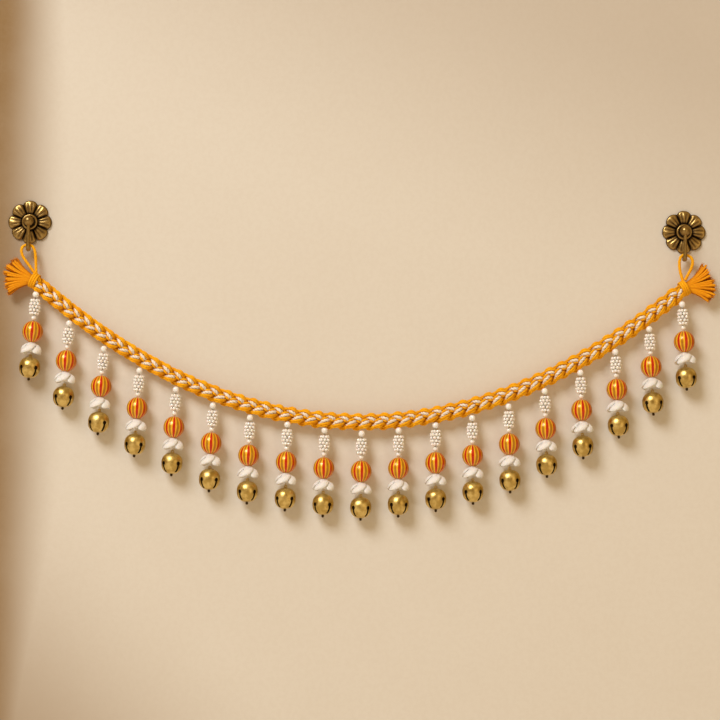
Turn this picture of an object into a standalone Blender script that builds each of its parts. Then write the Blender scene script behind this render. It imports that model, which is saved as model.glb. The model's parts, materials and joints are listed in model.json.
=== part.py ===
"""Toran door hanging on two wall hooks.

A plaited yarn swag carries nineteen strings of pearls, each with a striped ball, a petal cap
and a jingle bell. A cord loop at each end of the swag hangs on a flower-shaped wall hook.
Metres, +Z up. The wall is the plane y = 0, and the hanging is in front of it, at y below 0.
The origin is on the wall, midway between the two hooks.
"""
import math

import bmesh
import bpy
import numpy as np
from mathutils import Matrix, Vector
from mathutils.bvhtree import BVHTree

for old_object in list(bpy.data.objects):
    bpy.data.objects.remove(old_object, do_unlink=True)

# Driving sizes
CLEARANCE = 0.0003        # kept between pieces that touch
HOOK_X = 0.457            # half of the 914 mm between the hooks
SWAG_Y = -0.013           # middle of the plait, in front of the wall
LEFT_WRAP_X = -0.4480
RIGHT_WRAP_X = 0.4570
SWAG_BOTTOM_X = 0.0025
SWAG_BOTTOM_Z = -0.2728
SWAG_CURVE = 0.935        # rise of the swag, in metres per square metre of reach

# Plait of three strands
PLAIT_PITCH = 0.0557      # one full turn of a strand, and so three lobes
STRAND_SWING = 0.0070     # how far a strand's middle runs to each edge
STRAND_DEPTH = 0.0062     # how far it runs to the front and to the back
STRAND_HALF_HEIGHT = 0.0039
STRAND_HALF_DEPTH = 0.0029
STRAND_STEPS = 8          # sections in one pitch
STRAND_SIDES = 6

# Yarn wraps round the plait's ends
WRAP_LENGTH = 0.0135
WRAP_RADIUS = 0.0115
WRAP_GROOVE = 0.0009
WRAP_TURNS = 4
WRAP_SIDES = 12
WRAP_TILT = math.radians(24)

# Tassels, the cut ends of the plait's yarn
TASSEL_ROWS = 7
TASSEL_LAYERS = 3
TASSEL_ROOT_HEIGHT = 0.0150
TASSEL_ROOT_DEPTH = 0.0104
TASSEL_NECK = 0.0030
TASSEL_REACH = 0.0350
TASSEL_SIDE_SHARE = 0.84    # how long the outer locks are, as a share of the middle ones
TASSEL_UNEVENNESS = 0.10
TASSEL_MIDDLE = math.radians(10)
TASSEL_SPREAD = math.radians(60)
LOCK_GAP = 0.0004

# Hanging loops
LOOP_DIAMETER = 0.0043
LOOP_POINTS = 21

# Wall hooks
PETALS = 8
PETAL_TIP = 0.0302
PETAL_VALLEY = 0.0264
COLLAR_RADIUS = 0.0103
COLLAR_FRONT = -0.0070
BOSS_RADIUS = 0.0071
BOSS_Y = -0.0170
ROD_RADIUS = 0.0025
STEM_Y = -0.0185
BEND_RADIUS = 0.0055
BEND_Z = -0.0330
TIP_Z = -0.0312

# Pendants
PENDANTS = 19
PENDANT_END_INSET = 0.0045   # from the wrap's middle to the end pendants
PENDANT_SHIFT = 0.0060       # the pendants stand a little to the right in the middle
PENDANT_CROWDING = 0.0114    # and closer together there
PENDANT_Y = -0.0152
PENDANT_LEAN = math.radians(7.76)   # lean in each metre from the middle
TOP_PEARL_RADIUS = 0.0050
STRING_SIDES = 8
BELL_DROP = 0.0851           # from the top pearl's middle to the bell's top
SLIT_HALF_ANGLE = math.radians(4.2)
SLIT_DEPTH = 0.0012

UP = Vector((0, 0, 1))
INTO_WALL = Vector((0, 1, 0))


def make_material(name, colour, roughness, metallic=0.0):
    """A plain Principled material."""
    material = bpy.data.materials.new(name)
    material.use_nodes = True
    shader = material.node_tree.nodes["Principled BSDF"]
    shader.inputs["Base Color"].default_value = (*colour, 1.0)
    shader.inputs["Roughness"].default_value = roughness
    shader.inputs["Metallic"].default_value = metallic
    material.diffuse_color = (*colour, 1.0)
    return material


YARN = make_material("orange_yarn", (0.90, 0.40, 0.01), 0.85)
PEARL = make_material("pearl_and_ball", (0.80, 0.62, 0.45), 0.30)
BRASS = make_material("bell_brass", (0.72, 0.50, 0.16), 0.25, 1.0)
AGED_BRASS = make_material("aged_hook_brass", (0.36, 0.24, 0.08), 0.40, 1.0)


def add_object(name, mesh, material):
    """Put a finished mesh in the scene, shaded smooth but for its sharp edges."""
    mesh.materials.append(material)
    mesh.shade_smooth()
    mesh.set_sharp_from_angle(angle=math.radians(45))
    item = bpy.data.objects.new(name, mesh)
    bpy.context.scene.collection.objects.link(item)
    return item


def mesh_from(name, bm):
    """Turn a closed bmesh into a mesh whose faces look outward."""
    bmesh.ops.recalc_face_normals(bm, faces=bm.faces)
    mesh = bpy.data.meshes.new(name)
    bm.to_mesh(mesh)
    bm.free()
    return mesh


def bridge(bm, ring_a, ring_b):
    """Join two rings of vertices by a band of quads."""
    count = len(ring_a)
    return [bm.faces.new((ring_a[i], ring_a[(i + 1) % count], ring_b[(i + 1) % count], ring_b[i]))
            for i in range(count)]


def loft(bm, rings, start_point=None, end_point=None):
    """Skin a row of rings; each end closes at a point or with one flat face."""
    rows = [[bm.verts.new(point) for point in ring] for ring in rings]
    bands = [bridge(bm, rows[i], rows[i + 1]) for i in range(len(rows) - 1)]
    for row, point in ((rows[0], start_point), (rows[-1], end_point)):
        if point is None:
            bm.faces.new(row)
        else:
            tip = bm.verts.new(point)
            for i in range(len(row)):
                bm.faces.new((row[i], row[(i + 1) % len(row)], tip))
    return bands


def circle(centre, axis_a, axis_b, radius_a, radius_b, angles):
    """Points round an ellipse that is spanned by two axes."""
    return [centre + axis_a * (radius_a * math.cos(angle)) + axis_b * (radius_b * math.sin(angle))
            for angle in angles]


def even_angles(count, turn=0.0):
    return [turn + 2 * math.pi * i / count for i in range(count)]


# The hanging curve of the plait, measured along its length from the left wrap
CURVE_X = np.linspace(LEFT_WRAP_X, RIGHT_WRAP_X, 2001)
CURVE_Z = SWAG_BOTTOM_Z + SWAG_CURVE * (CURVE_X - SWAG_BOTTOM_X) ** 2
CURVE_S = np.concatenate(([0.0], np.cumsum(np.hypot(np.diff(CURVE_X), np.diff(CURVE_Z)))))
SWAG_LENGTH = float(CURVE_S[-1])


def swag(s):
    """Point of the plait's middle line, its direction, and the way up across it."""
    x = float(np.interp(s, CURVE_S, CURVE_X))
    z = SWAG_BOTTOM_Z + SWAG_CURVE * (x - SWAG_BOTTOM_X) ** 2
    along = Vector((1.0, 0.0, 2 * SWAG_CURVE * (x - SWAG_BOTTOM_X))).normalized()
    return Vector((x, SWAG_Y, z)), along, Vector((-along.z, 0.0, along.x))


# Wraps: where each stands, and the way from it into the plait
def wrap_frame(side):
    """Middle, inward direction and upward direction of the wrap, for side -1 (left) or 1."""
    middle = swag(0.0 if side < 0 else SWAG_LENGTH)[0]
    inward = Vector((-side * math.cos(WRAP_TILT), 0.0, -math.sin(WRAP_TILT)))
    across = Vector((-side * math.sin(WRAP_TILT), 0.0, math.cos(WRAP_TILT)))
    return middle, inward, across


def make_wrap(name, side):
    """A barrel of binding yarn, with a ridge for each turn."""
    middle, inward, across = wrap_frame(side)
    angles = even_angles(WRAP_SIDES)
    stations = [(-0.5, WRAP_RADIUS - 3 * WRAP_GROOVE)]
    for step in range(2 * WRAP_TURNS - 1):
        radius = WRAP_RADIUS - WRAP_GROOVE * (step % 2)
        stations.append(((step + 1) / (2 * WRAP_TURNS) - 0.5, radius))
    stations.append((0.5, WRAP_RADIUS - 3 * WRAP_GROOVE))
    bm = bmesh.new()
    loft(bm, [circle(middle + inward * (place * WRAP_LENGTH), across, INTO_WALL, radius, radius, angles)
              for place, radius in stations])
    return add_object(name, mesh_from(name, bm), YARN)


# Plait strands
def strand_centre(s, strand):
    """A strand swings from edge to edge once a pitch, and from front to back twice."""
    phase = 2 * math.pi * (s / PLAIT_PITCH + strand / 3)
    middle, _, across = swag(s)
    return middle + across * (STRAND_SWING * math.sin(phase)) + INTO_WALL * (STRAND_DEPTH * math.sin(2 * phase))


def strand_section(s, strand):
    """The six corners of a strand's section, square to the strand."""
    step = PLAIT_PITCH / 200
    along = (strand_centre(s + step, strand) - strand_centre(s - step, strand)).normalized()
    flat = INTO_WALL.cross(along).normalized()
    return circle(strand_centre(s, strand), flat, along.cross(flat), STRAND_HALF_HEIGHT, STRAND_HALF_DEPTH,
                  even_angles(STRAND_SIDES))


def strand_limit(side, strand):
    """Where along the plait this strand's last section just clears the wrap."""
    middle, inward, _ = wrap_frame(side)
    face = middle + inward * (WRAP_LENGTH / 2 + CLEARANCE)
    near, far = (0.0, PLAIT_PITCH / 2) if side < 0 else (SWAG_LENGTH, SWAG_LENGTH - PLAIT_PITCH / 2)
    for _ in range(30):
        s = (near + far) / 2
        clear = min((corner - face).dot(inward) for corner in strand_section(s, strand)) > 0
        if clear:
            far = s
        else:
            near = s
    return far


def make_strand(name, strand):
    """One strand from wrap to wrap, with its sections at eighths of its pitch."""
    start, end = strand_limit(-1, strand), strand_limit(1, strand)
    step = PLAIT_PITCH / STRAND_STEPS
    places = [start]
    number = math.ceil((start + step * 0.45) / step + strand * STRAND_STEPS / 3)
    s = (number - strand * STRAND_STEPS / 3) * step
    while s < end - step * 0.45:
        places.append(s)
        s += step
    places.append(end)
    bm = bmesh.new()
    loft(bm, [strand_section(s, strand) for s in places])
    return add_object(name, mesh_from(name, bm), YARN)


# Tassels
def make_tassel(name, side):
    """A neck behind the wrap, and locks of yarn that fan out from it along the wall."""
    middle, inward, across = wrap_frame(side)
    base = middle - inward * (WRAP_LENGTH / 2 + CLEARANCE)
    outward = Vector((side * math.cos(TASSEL_MIDDLE), 0.0, math.sin(TASSEL_MIDDLE)))
    raised = Vector((-side * math.sin(TASSEL_MIDDLE), 0.0, math.cos(TASSEL_MIDDLE)))
    half_height = TASSEL_ROOT_HEIGHT / 2

    def half_depth(height):
        return TASSEL_ROOT_DEPTH / 2 * math.sqrt(1.0 - (height / half_height) ** 2 * 0.7)

    def fan(height, layer, reach):
        """A point of the fan: height at the root, layer from -1 to 1 in depth, reach from the root."""
        part = reach / TASSEL_REACH
        angle = height / half_height * TASSEL_SPREAD * (0.35 + 0.325 * part)
        direction = outward * math.cos(angle) + raised * math.sin(angle)
        depth = layer * half_depth(height) * (1.0 + 0.35 * part)
        return base + outward * TASSEL_NECK + raised * height + direction * reach + INTO_WALL * depth

    heights = [half_height * (2 * i / TASSEL_ROWS - 1) for i in range(TASSEL_ROWS + 1)]
    layers = [2 * j / TASSEL_LAYERS - 1 for j in range(TASSEL_LAYERS + 1)]
    bm = bmesh.new()
    front = [[bm.verts.new(fan(height, layer, 0.0)) for layer in layers] for height in heights]
    rim = [(0, j) for j in range(TASSEL_LAYERS)] + [(i, TASSEL_LAYERS) for i in range(TASSEL_ROWS)]
    rim += [(TASSEL_ROWS, TASSEL_LAYERS - j) for j in range(TASSEL_LAYERS)]
    rim += [(TASSEL_ROWS - i, 0) for i in range(TASSEL_ROWS)]
    back = [bm.verts.new(base + across * heights[i] + INTO_WALL * (layers[j] * half_depth(heights[i])))
            for i, j in rim]
    bridge(bm, [front[i][j] for i, j in rim], back)
    bm.faces.new(back)
    for i in range(TASSEL_ROWS):
        for j in range(TASSEL_LAYERS):
            middle_height = (heights[i] + heights[i + 1]) / 2
            slim = LOCK_GAP / 2
            low, high = heights[i] + slim, heights[i + 1] - slim
            inset = slim / half_depth(middle_height)
            near, far = layers[j] + inset, layers[j + 1] - inset
            unevenness = 0.5 + 0.5 * math.sin(7.3 * i + 4.1 * j + side)
            length = TASSEL_REACH * (1.0 - (1.0 - TASSEL_SIDE_SHARE) * (middle_height / half_height) ** 2)
            length *= 1.0 - TASSEL_UNEVENNESS * unevenness
            rings = [[bm.verts.new(fan(height, layer, reach))
                      for height, layer in ((low, near), (low, far), (high, far), (high, near))]
                     for reach in (0.0, 0.5 * length, length)]
            bridge(bm, [front[i][j], front[i][j + 1], front[i + 1][j + 1], front[i + 1][j]], rings[0])
            bridge(bm, rings[0], rings[1])
            bridge(bm, rings[1], rings[2])
            bm.faces.new(rings[2])
    return add_object(name, mesh_from(name, bm), YARN)


# Hanging loops: the cord's route round the hook, from the hook's middle, chosen by eye
LEFT_ROUTE = ((0.0046, -0.0658), (0.0022, -0.0625), (-0.0010, -0.0585), (-0.0050, -0.0530), (-0.0084, -0.0465),
              (-0.0094, -0.0405), (-0.0076, -0.0360), (-0.0038, -0.0338), (0.0, -0.0333), (0.0038, -0.0341),
              (0.0072, -0.0372), (0.0095, -0.0430), (0.0105, -0.0500), (0.0111, -0.0580), (0.0115, -0.0650))
RIGHT_ROUTE = ((-0.0040, -0.0640), (-0.0062, -0.0560), (-0.0073, -0.0480), (-0.0070, -0.0415),
               (-0.0053, -0.0362), (-0.0027, -0.0338), (0.0, -0.0333), (0.0036, -0.0336), (0.0072, -0.0354),
               (0.0102, -0.0388), (0.0112, -0.0432), (0.0100, -0.0492), (0.0074, -0.0556), (0.0046, -0.0610))


def foot_on_wrap(point, direction, side):
    """The last point of a leg, where the cord's end just clears the wrap's barrel."""
    middle, inward, across = wrap_frame(side)
    radius = LOOP_DIAMETER / 2
    flat = direction.cross(INTO_WALL)
    angles = even_angles(8)
    while True:
        rim = circle(point, flat, INTO_WALL, radius, radius, angles)
        offsets = [corner - middle for corner in rim]
        gaps = [math.hypot(max(0.0, (offset - inward * offset.dot(inward)).length - WRAP_RADIUS),
                           max(0.0, abs(offset.dot(inward)) - WRAP_LENGTH / 2)) for offset in offsets]
        if min(gaps) < CLEARANCE:
            return point
        point = point + direction * 0.0001


def smooth_route(points, count):
    """Points at even steps along a smooth curve through the given ones."""
    known = np.array([tuple(point) for point in points])
    steps = np.concatenate(([0.0], np.cumsum(np.linalg.norm(np.diff(known, axis=0), axis=1))))
    slopes = np.gradient(known, steps, axis=0)
    fine = []
    for i in range(len(known) - 1):
        width = steps[i + 1] - steps[i]
        for t in np.linspace(0.0, 1.0, 12, endpoint=False):
            fine.append((2 * t**3 - 3 * t**2 + 1) * known[i] + (t**3 - 2 * t**2 + t) * width * slopes[i]
                        + (3 * t**2 - 2 * t**3) * known[i + 1] + (t**3 - t**2) * width * slopes[i + 1])
    fine = np.array(fine + [known[-1]])
    lengths = np.concatenate(([0.0], np.cumsum(np.linalg.norm(np.diff(fine, axis=0), axis=1))))
    wanted = np.linspace(0.0, lengths[-1], count)
    return np.stack([np.interp(wanted, lengths, fine[:, axis]) for axis in range(3)], axis=1)


def make_loop(name, side, route):
    """A round cord from the wrap, over the hook's bend and back to the wrap."""
    points = [Vector((side * HOOK_X + x, SWAG_Y, z)) for x, z in route]
    first_way = Vector((points[0].x - points[1].x, 0.0, points[0].z - points[1].z)).normalized()
    last_way = Vector((points[-1].x - points[-2].x, 0.0, points[-1].z - points[-2].z)).normalized()
    points.insert(0, foot_on_wrap(points[0], first_way, side))
    points.append(foot_on_wrap(points[-1], last_way, side))
    path = smooth_route(points, LOOP_POINTS)
    curve = bpy.data.curves.new(name, "CURVE")
    curve.dimensions = "3D"
    curve.bevel_depth = LOOP_DIAMETER / 2
    curve.bevel_resolution = 2
    curve.use_fill_caps = True
    spline = curve.splines.new("POLY")
    spline.points.add(len(path) - 1)
    for target, place in zip(spline.points, path):
        target.co = (*place, 1.0)
    curve.materials.append(YARN)
    item = bpy.data.objects.new(name, curve)
    bpy.context.scene.collection.objects.link(item)
    return item


# Wall hooks. Place across a petal from valley to valley, share of the tip's radius, and height.
PETAL_SHAPE = ((0.00, 0.0, 0.0010), (0.16, 0.65, 0.0046), (0.39, 1.0, 0.0038), (0.61, 1.0, 0.0038),
               (0.84, 0.65, 0.0046))


def make_rosette(name, side):
    """A stamped flower plate with a flat back on the wall and a raised collar in its middle."""
    columns = []
    for petal in range(PETALS):
        for place, reach, height in PETAL_SHAPE:
            angle = 2 * math.pi * (petal - 0.5 + place) / PETALS - math.pi / 2
            columns.append((angle, PETAL_VALLEY + reach * (PETAL_TIP - PETAL_VALLEY), height))

    def ring(radius_of, height_of):
        return [Vector((side * HOOK_X + radius_of(tip) * math.cos(angle), -height_of(height),
                        radius_of(tip) * math.sin(angle))) for angle, tip, height in columns]

    rings = [ring(lambda tip: tip, lambda height: 0.0),
             ring(lambda tip: tip, lambda height: 0.0008),
             ring(lambda tip: tip - 0.0030, lambda height: height),
             ring(lambda tip: 0.5 * tip, lambda height: 0.0008 + 0.7 * height),
             ring(lambda tip: COLLAR_RADIUS, lambda height: 0.0022),
             ring(lambda tip: COLLAR_RADIUS - 0.0008, lambda height: -COLLAR_FRONT)]
    bm = bmesh.new()
    loft(bm, rings)
    return add_object(name, mesh_from(name, bm), AGED_BRASS)


# Boss of the hook: distance from the wall and radius
BOSS_SHAPE = ((-COLLAR_FRONT + CLEARANCE, 0.0045), (0.0100, 0.0040), (0.0122, 0.0053), (0.0147, 0.0067),
              (0.0176, 0.0071), (0.0206, 0.0061), (0.0229, 0.0040))


def make_hook(name, side):
    """A post with a round boss, and a rod that goes down and bends up again behind the cord."""
    angles = even_angles(10, math.pi / 10)
    across, raised = Vector((1, 0, 0)), UP
    bm = bmesh.new()
    loft(bm, [circle(Vector((side * HOOK_X, -depth, 0.0)), across, raised, radius, radius, angles)
              for depth, radius in BOSS_SHAPE],
         end_point=Vector((side * HOOK_X, BOSS_Y - BOSS_RADIUS, 0.0)))
    hook = add_object(name, mesh_from(name, bm), AGED_BRASS)

    bend_y = STEM_Y + BEND_RADIUS
    path = [(STEM_Y, -0.0030), (STEM_Y, -0.0150)]
    path += [(bend_y - BEND_RADIUS * math.cos(turn), BEND_Z - BEND_RADIUS * math.sin(turn))
             for turn in np.linspace(0.0, math.pi, 8)]
    path.append((bend_y + BEND_RADIUS, TIP_Z))
    centres = [Vector((side * HOOK_X, y, z)) for y, z in path]
    bm = bmesh.new()
    rings = []
    for i, centre in enumerate(centres):
        way = (centres[min(i + 1, len(centres) - 1)] - centres[max(i - 1, 0)]).normalized()
        rings.append(circle(centre, across, across.cross(way), ROD_RADIUS, ROD_RADIUS,
                            even_angles(8, math.pi / 8)))
    loft(bm, rings)
    rod = add_object(name + "_rod_guide", mesh_from(name + "_rod_guide", bm), AGED_BRASS)
    rod.hide_render = True
    rod.display_type = "WIRE"
    join = hook.modifiers.new("join_rod", "BOOLEAN")
    join.operation = "UNION"
    join.object = rod
    return hook


# Pendants. Distance below the top pearl's middle, half width, and half depth as a share of it.
STRING_SHAPE = (
    (-0.0027, 0.0043, 1.0), (0.0027, 0.0043, 1.0),                          # top pearl
    (0.0066, 0.0082, 1.0), (0.0284, 0.0082, 1.0),                           # column of small pearls
    (0.0306, 0.0034, 1.0), (0.0369, 0.0034, 1.0),                           # lower pearl
    (0.0412, 0.0092, 1.0), (0.0470, 0.0138, 1.0),                           # striped ball
    (0.0600, 0.0138, 1.0), (0.0658, 0.0092, 1.0), (0.0690, 0.0050, 1.0),
    (0.0745, 0.0120, 0.8), (0.0795, 0.0147, 0.8), (0.0834, 0.0098, 0.8))    # petal cap
CAP_BOTTOM = BELL_DROP - CLEARANCE

# Bell: distance below its top, and radius. The slits run down from its widest row.
BELL_SHAPE = ((0.0004, 0.0019), (0.0036, 0.0021), (0.0062, 0.0092), (0.0115, 0.0136), (0.0185, 0.0145),
              (0.0270, 0.0119), (0.0330, 0.0048), (0.0357, 0.0016))
BELL_NUB = 0.0369
WIDEST_ROW = 4
SLIT_BANDS = (4, 5)


def string_mesh(name):
    """Pearls, ball and petal cap on one thread, as one turned body about the top pearl."""
    angles = even_angles(STRING_SIDES, math.pi / STRING_SIDES)
    across = Vector((1, 0, 0))
    bm = bmesh.new()
    loft(bm, [circle(Vector((0.0, 0.0, -drop)), across, INTO_WALL, half_width, half_width * share, angles)
              for drop, half_width, share in STRING_SHAPE],
         start_point=Vector((0.0, 0.0, TOP_PEARL_RADIUS)), end_point=Vector((0.0, 0.0, -CAP_BOTTOM)))
    return mesh_from(name, bm)


def bell_mesh(name):
    """A jingle bell with its neck, four slits cut in its lower half, and a nub underneath."""
    angles = []
    for quarter in range(4):
        middle = math.pi / 2 * quarter
        angles += [middle, middle + math.pi / 4 - SLIT_HALF_ANGLE, middle + math.pi / 4 + SLIT_HALF_ANGLE]
    across = Vector((1, 0, 0))
    bm = bmesh.new()
    bands = loft(bm, [circle(Vector((0.0, 0.0, -drop)), across, INTO_WALL, radius, radius, angles)
                      for drop, radius in BELL_SHAPE],
                 start_point=Vector((0.0, 0.0, 0.0)), end_point=Vector((0.0, 0.0, -BELL_NUB)))
    slits = [bands[band][3 * quarter + 1] for band in SLIT_BANDS for quarter in range(4)]
    cut = bmesh.ops.extrude_face_region(bm, geom=slits)
    bmesh.ops.delete(bm, geom=slits, context="FACES")
    heart = Vector((0.0, 0.0, -BELL_SHAPE[WIDEST_ROW][0]))
    for vertex in cut["geom"]:
        if isinstance(vertex, bmesh.types.BMVert):
            vertex.co -= (vertex.co - heart).normalized() * SLIT_DEPTH
    return mesh_from(name, bm)


def seat_under(carrier, place, string):
    """Lower a leaning string from the plait's middle until it just clears all that is above it."""
    tree, corners = carrier
    close = [corner for corner in corners if abs(corner.x - place.x) < PLAIT_PITCH / 2]
    faces = [list(polygon.vertices) for polygon in string.polygons]
    lean = Matrix.Rotation(-PENDANT_LEAN * place.x, 4, "Y")
    drop = WRAP_RADIUS
    while True:
        at_top = Matrix.Translation(Vector((place.x, PENDANT_Y, place.z - drop))) @ lean
        points = [at_top @ vertex.co for vertex in string.vertices]
        own = BVHTree.FromPolygons(points, faces)
        gap = min(min(tree.find_nearest(point)[3] for point in points),
                  min(own.find_nearest(corner)[3] for corner in close))
        if gap > CLEARANCE and not own.overlap(tree):
            return at_top
        drop += 0.0001


def make_pendants(carriers):
    """Hang the strings and bells at their places under the swag, leaning outward as they hang."""
    verts, faces = [], []
    for item in carriers:
        start = len(verts)
        verts += [vertex.co.copy() for vertex in item.data.vertices]
        faces += [[start + index for index in polygon.vertices] for polygon in item.data.polygons]
    carrier = (BVHTree.FromPolygons(verts, faces), verts)
    string, bell = string_mesh("pearl_string"), bell_mesh("jingle_bell")
    for mesh, material in ((string, PEARL), (bell, BRASS)):
        mesh.materials.append(material)
        mesh.shade_smooth()
        mesh.set_sharp_from_angle(angle=math.radians(60))
    for number in range(PENDANTS):
        part = number / (PENDANTS - 1)
        s = PENDANT_END_INSET + (SWAG_LENGTH - 2 * PENDANT_END_INSET) * part
        s += PENDANT_SHIFT * math.sin(math.pi * part) + PENDANT_CROWDING * math.sin(2 * math.pi * part)
        at_top = seat_under(carrier, swag(s)[0], string)
        for stem, mesh, drop in (("string", string, 0.0), ("bell", bell, BELL_DROP)):
            item = bpy.data.objects.new(f"{stem}_{number + 1:02d}", mesh)
            item.matrix_world = at_top @ Matrix.Translation(Vector((0.0, 0.0, -drop)))
            bpy.context.scene.collection.objects.link(item)


strands = [make_strand(f"plait_strand_{strand + 1}", strand) for strand in range(3)]
wraps = [make_wrap("wrap_left", -1), make_wrap("wrap_right", 1)]
make_tassel("tassel_left", -1)
make_tassel("tassel_right", 1)
make_loop("loop_left", -1, LEFT_ROUTE)
make_loop("loop_right", 1, RIGHT_ROUTE)
make_rosette("rosette_left", -1)
make_rosette("rosette_right", 1)
make_hook("hook_left", -1)
make_hook("hook_right", 1)
make_pendants(strands + wraps)
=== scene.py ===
# %% [markdown]
# # A toran on two wall hooks
# A toran is a garland that hangs across a doorway. This one is a plait of yellow and white yarn with
# nineteen bead pendants under it, and a cord loop at each end over a flower-shaped brass hook. The packed
# CAD model gives the frame: every piece below is made where that frame says, and stands for its plain solid.

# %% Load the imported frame
import json
import math
import random
import bmesh
import bpy
import numpy as np
from mathutils import Matrix, Vector

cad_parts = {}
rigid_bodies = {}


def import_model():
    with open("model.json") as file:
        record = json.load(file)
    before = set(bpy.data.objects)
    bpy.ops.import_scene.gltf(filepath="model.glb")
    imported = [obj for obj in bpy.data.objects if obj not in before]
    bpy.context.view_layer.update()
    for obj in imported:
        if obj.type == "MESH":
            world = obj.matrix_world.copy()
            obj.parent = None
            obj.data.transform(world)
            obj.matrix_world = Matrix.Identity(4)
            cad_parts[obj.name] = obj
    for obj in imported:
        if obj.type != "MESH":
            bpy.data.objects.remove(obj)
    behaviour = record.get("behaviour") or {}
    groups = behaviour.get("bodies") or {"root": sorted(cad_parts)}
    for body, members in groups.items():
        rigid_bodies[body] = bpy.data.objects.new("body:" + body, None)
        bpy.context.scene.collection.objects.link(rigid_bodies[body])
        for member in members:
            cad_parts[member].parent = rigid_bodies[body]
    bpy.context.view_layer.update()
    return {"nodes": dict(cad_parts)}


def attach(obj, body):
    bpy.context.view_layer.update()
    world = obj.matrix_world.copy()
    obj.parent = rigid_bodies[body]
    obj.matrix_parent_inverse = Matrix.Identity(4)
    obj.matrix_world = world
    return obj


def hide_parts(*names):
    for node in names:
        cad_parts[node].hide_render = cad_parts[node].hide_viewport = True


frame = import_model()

scene = bpy.context.scene
scene.view_settings.view_transform = "Standard"

# %% [markdown]
# ## Camera
# The camera stands 3.75 m in front of the wall, low, with a long lens that looks up a little, so the hanging
# keeps the even proportions of the photograph. It is rolled by less than a degree, because the right hook
# sits lower in the frame than the left one.

# %% Camera
HOOK_X = 0.457
VIEW_TARGET = Vector((0.0072, -0.013, -0.1868))
VIEW_DISTANCE = 3.748
VIEW_PITCH = math.radians(4.25)
VIEW_ROLL = math.radians(0.89)
IMAGE_SIZE = 720

turn = Matrix.Rotation(math.radians(90) + VIEW_PITCH, 4, "X") @ Matrix.Rotation(VIEW_ROLL, 4, "Z")
lens = bpy.data.cameras.new("view")
lens.lens = 135
lens.sensor_width = 36
lens.clip_end = 50
camera = bpy.data.objects.new("view", lens)
scene.collection.objects.link(camera)
eye = VIEW_TARGET + turn.to_3x3() @ Vector((0, 0, VIEW_DISTANCE))
camera.matrix_world = Matrix.Translation(eye) @ turn
scene.camera = camera


def in_picture(point):
    """The pixel, across and down, where the square image shows a point."""
    seen = camera.matrix_world.inverted() @ Vector(point)
    scale = IMAGE_SIZE * lens.lens / lens.sensor_width / -seen.z
    return IMAGE_SIZE / 2 + seen.x * scale, IMAGE_SIZE / 2 - seen.y * scale


for hook_side in (-1, 1):
    across_px, down_px = in_picture((hook_side * HOOK_X, -0.003, 0))
    print("hook", hook_side, "is seen at", round(across_px, 1), round(down_px, 1))

# %% [markdown]
# ## Small tools for node trees
# Materials and Geometry Nodes are both trees of nodes. One helper adds a node and feeds its sockets, either
# with a plain value or with another node's output, so that a tree reads like a list of steps.

# %% Node helper
def add(tree, kind, inputs=None, **settings):
    """Adds one node, sets its properties, and fills its sockets by name or number."""
    node = tree.nodes.new(kind)
    for key, value in settings.items():
        setattr(node, key, value)
    for key, value in (inputs or {}).items():
        socket = node.inputs[key]
        if isinstance(value, bpy.types.NodeSocket):
            tree.links.new(value, socket)
        else:
            socket.default_value = value
    return node


def math_of(tree, operation, *values):
    """The output of one Math node."""
    return add(tree, "ShaderNodeMath", dict(enumerate(values)), operation=operation).outputs[0]


def scaled(tree, vector, factors):
    """A vector with each part multiplied by its own factor."""
    node = add(tree, "ShaderNodeVectorMath", {0: vector, 1: factors}, operation="MULTIPLY")
    return node.outputs[0]


def mixed(tree, share, first, second, blend="MIX"):
    """The colour between two colours."""
    node = add(tree, "ShaderNodeMix", {0: share, 6: first, 7: second}, data_type="RGBA", blend_type=blend)
    return node.outputs[2]


def ranged(tree, value, low, high, to_low=0.0, to_high=1.0):
    """A value moved from one range to another, smoothly and without leaving it."""
    node = add(tree, "ShaderNodeMapRange", {0: value, 1: low, 2: high, 3: to_low, 4: to_high},
               interpolation_type="SMOOTHSTEP")
    return node.outputs[0]


def noise(tree, vector, scale, detail=3.0, roughness=0.55):
    """The grey value of a noise pattern."""
    node = add(tree, "ShaderNodeTexNoise",
               {"Vector": vector, "Scale": scale, "Detail": detail, "Roughness": roughness})
    return node.outputs[0]


def rgb(red, green, blue):
    return (red, green, blue, 1.0)


def new_material(name, surface):
    """A material whose surface function builds its nodes and returns the shader node."""
    material = bpy.data.materials.new(name)
    material.use_nodes = True
    tree = material.node_tree
    tree.nodes.clear()
    shader = surface(tree)
    add(tree, "ShaderNodeOutputMaterial", {"Surface": shader.outputs[0]})
    return material
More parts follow.
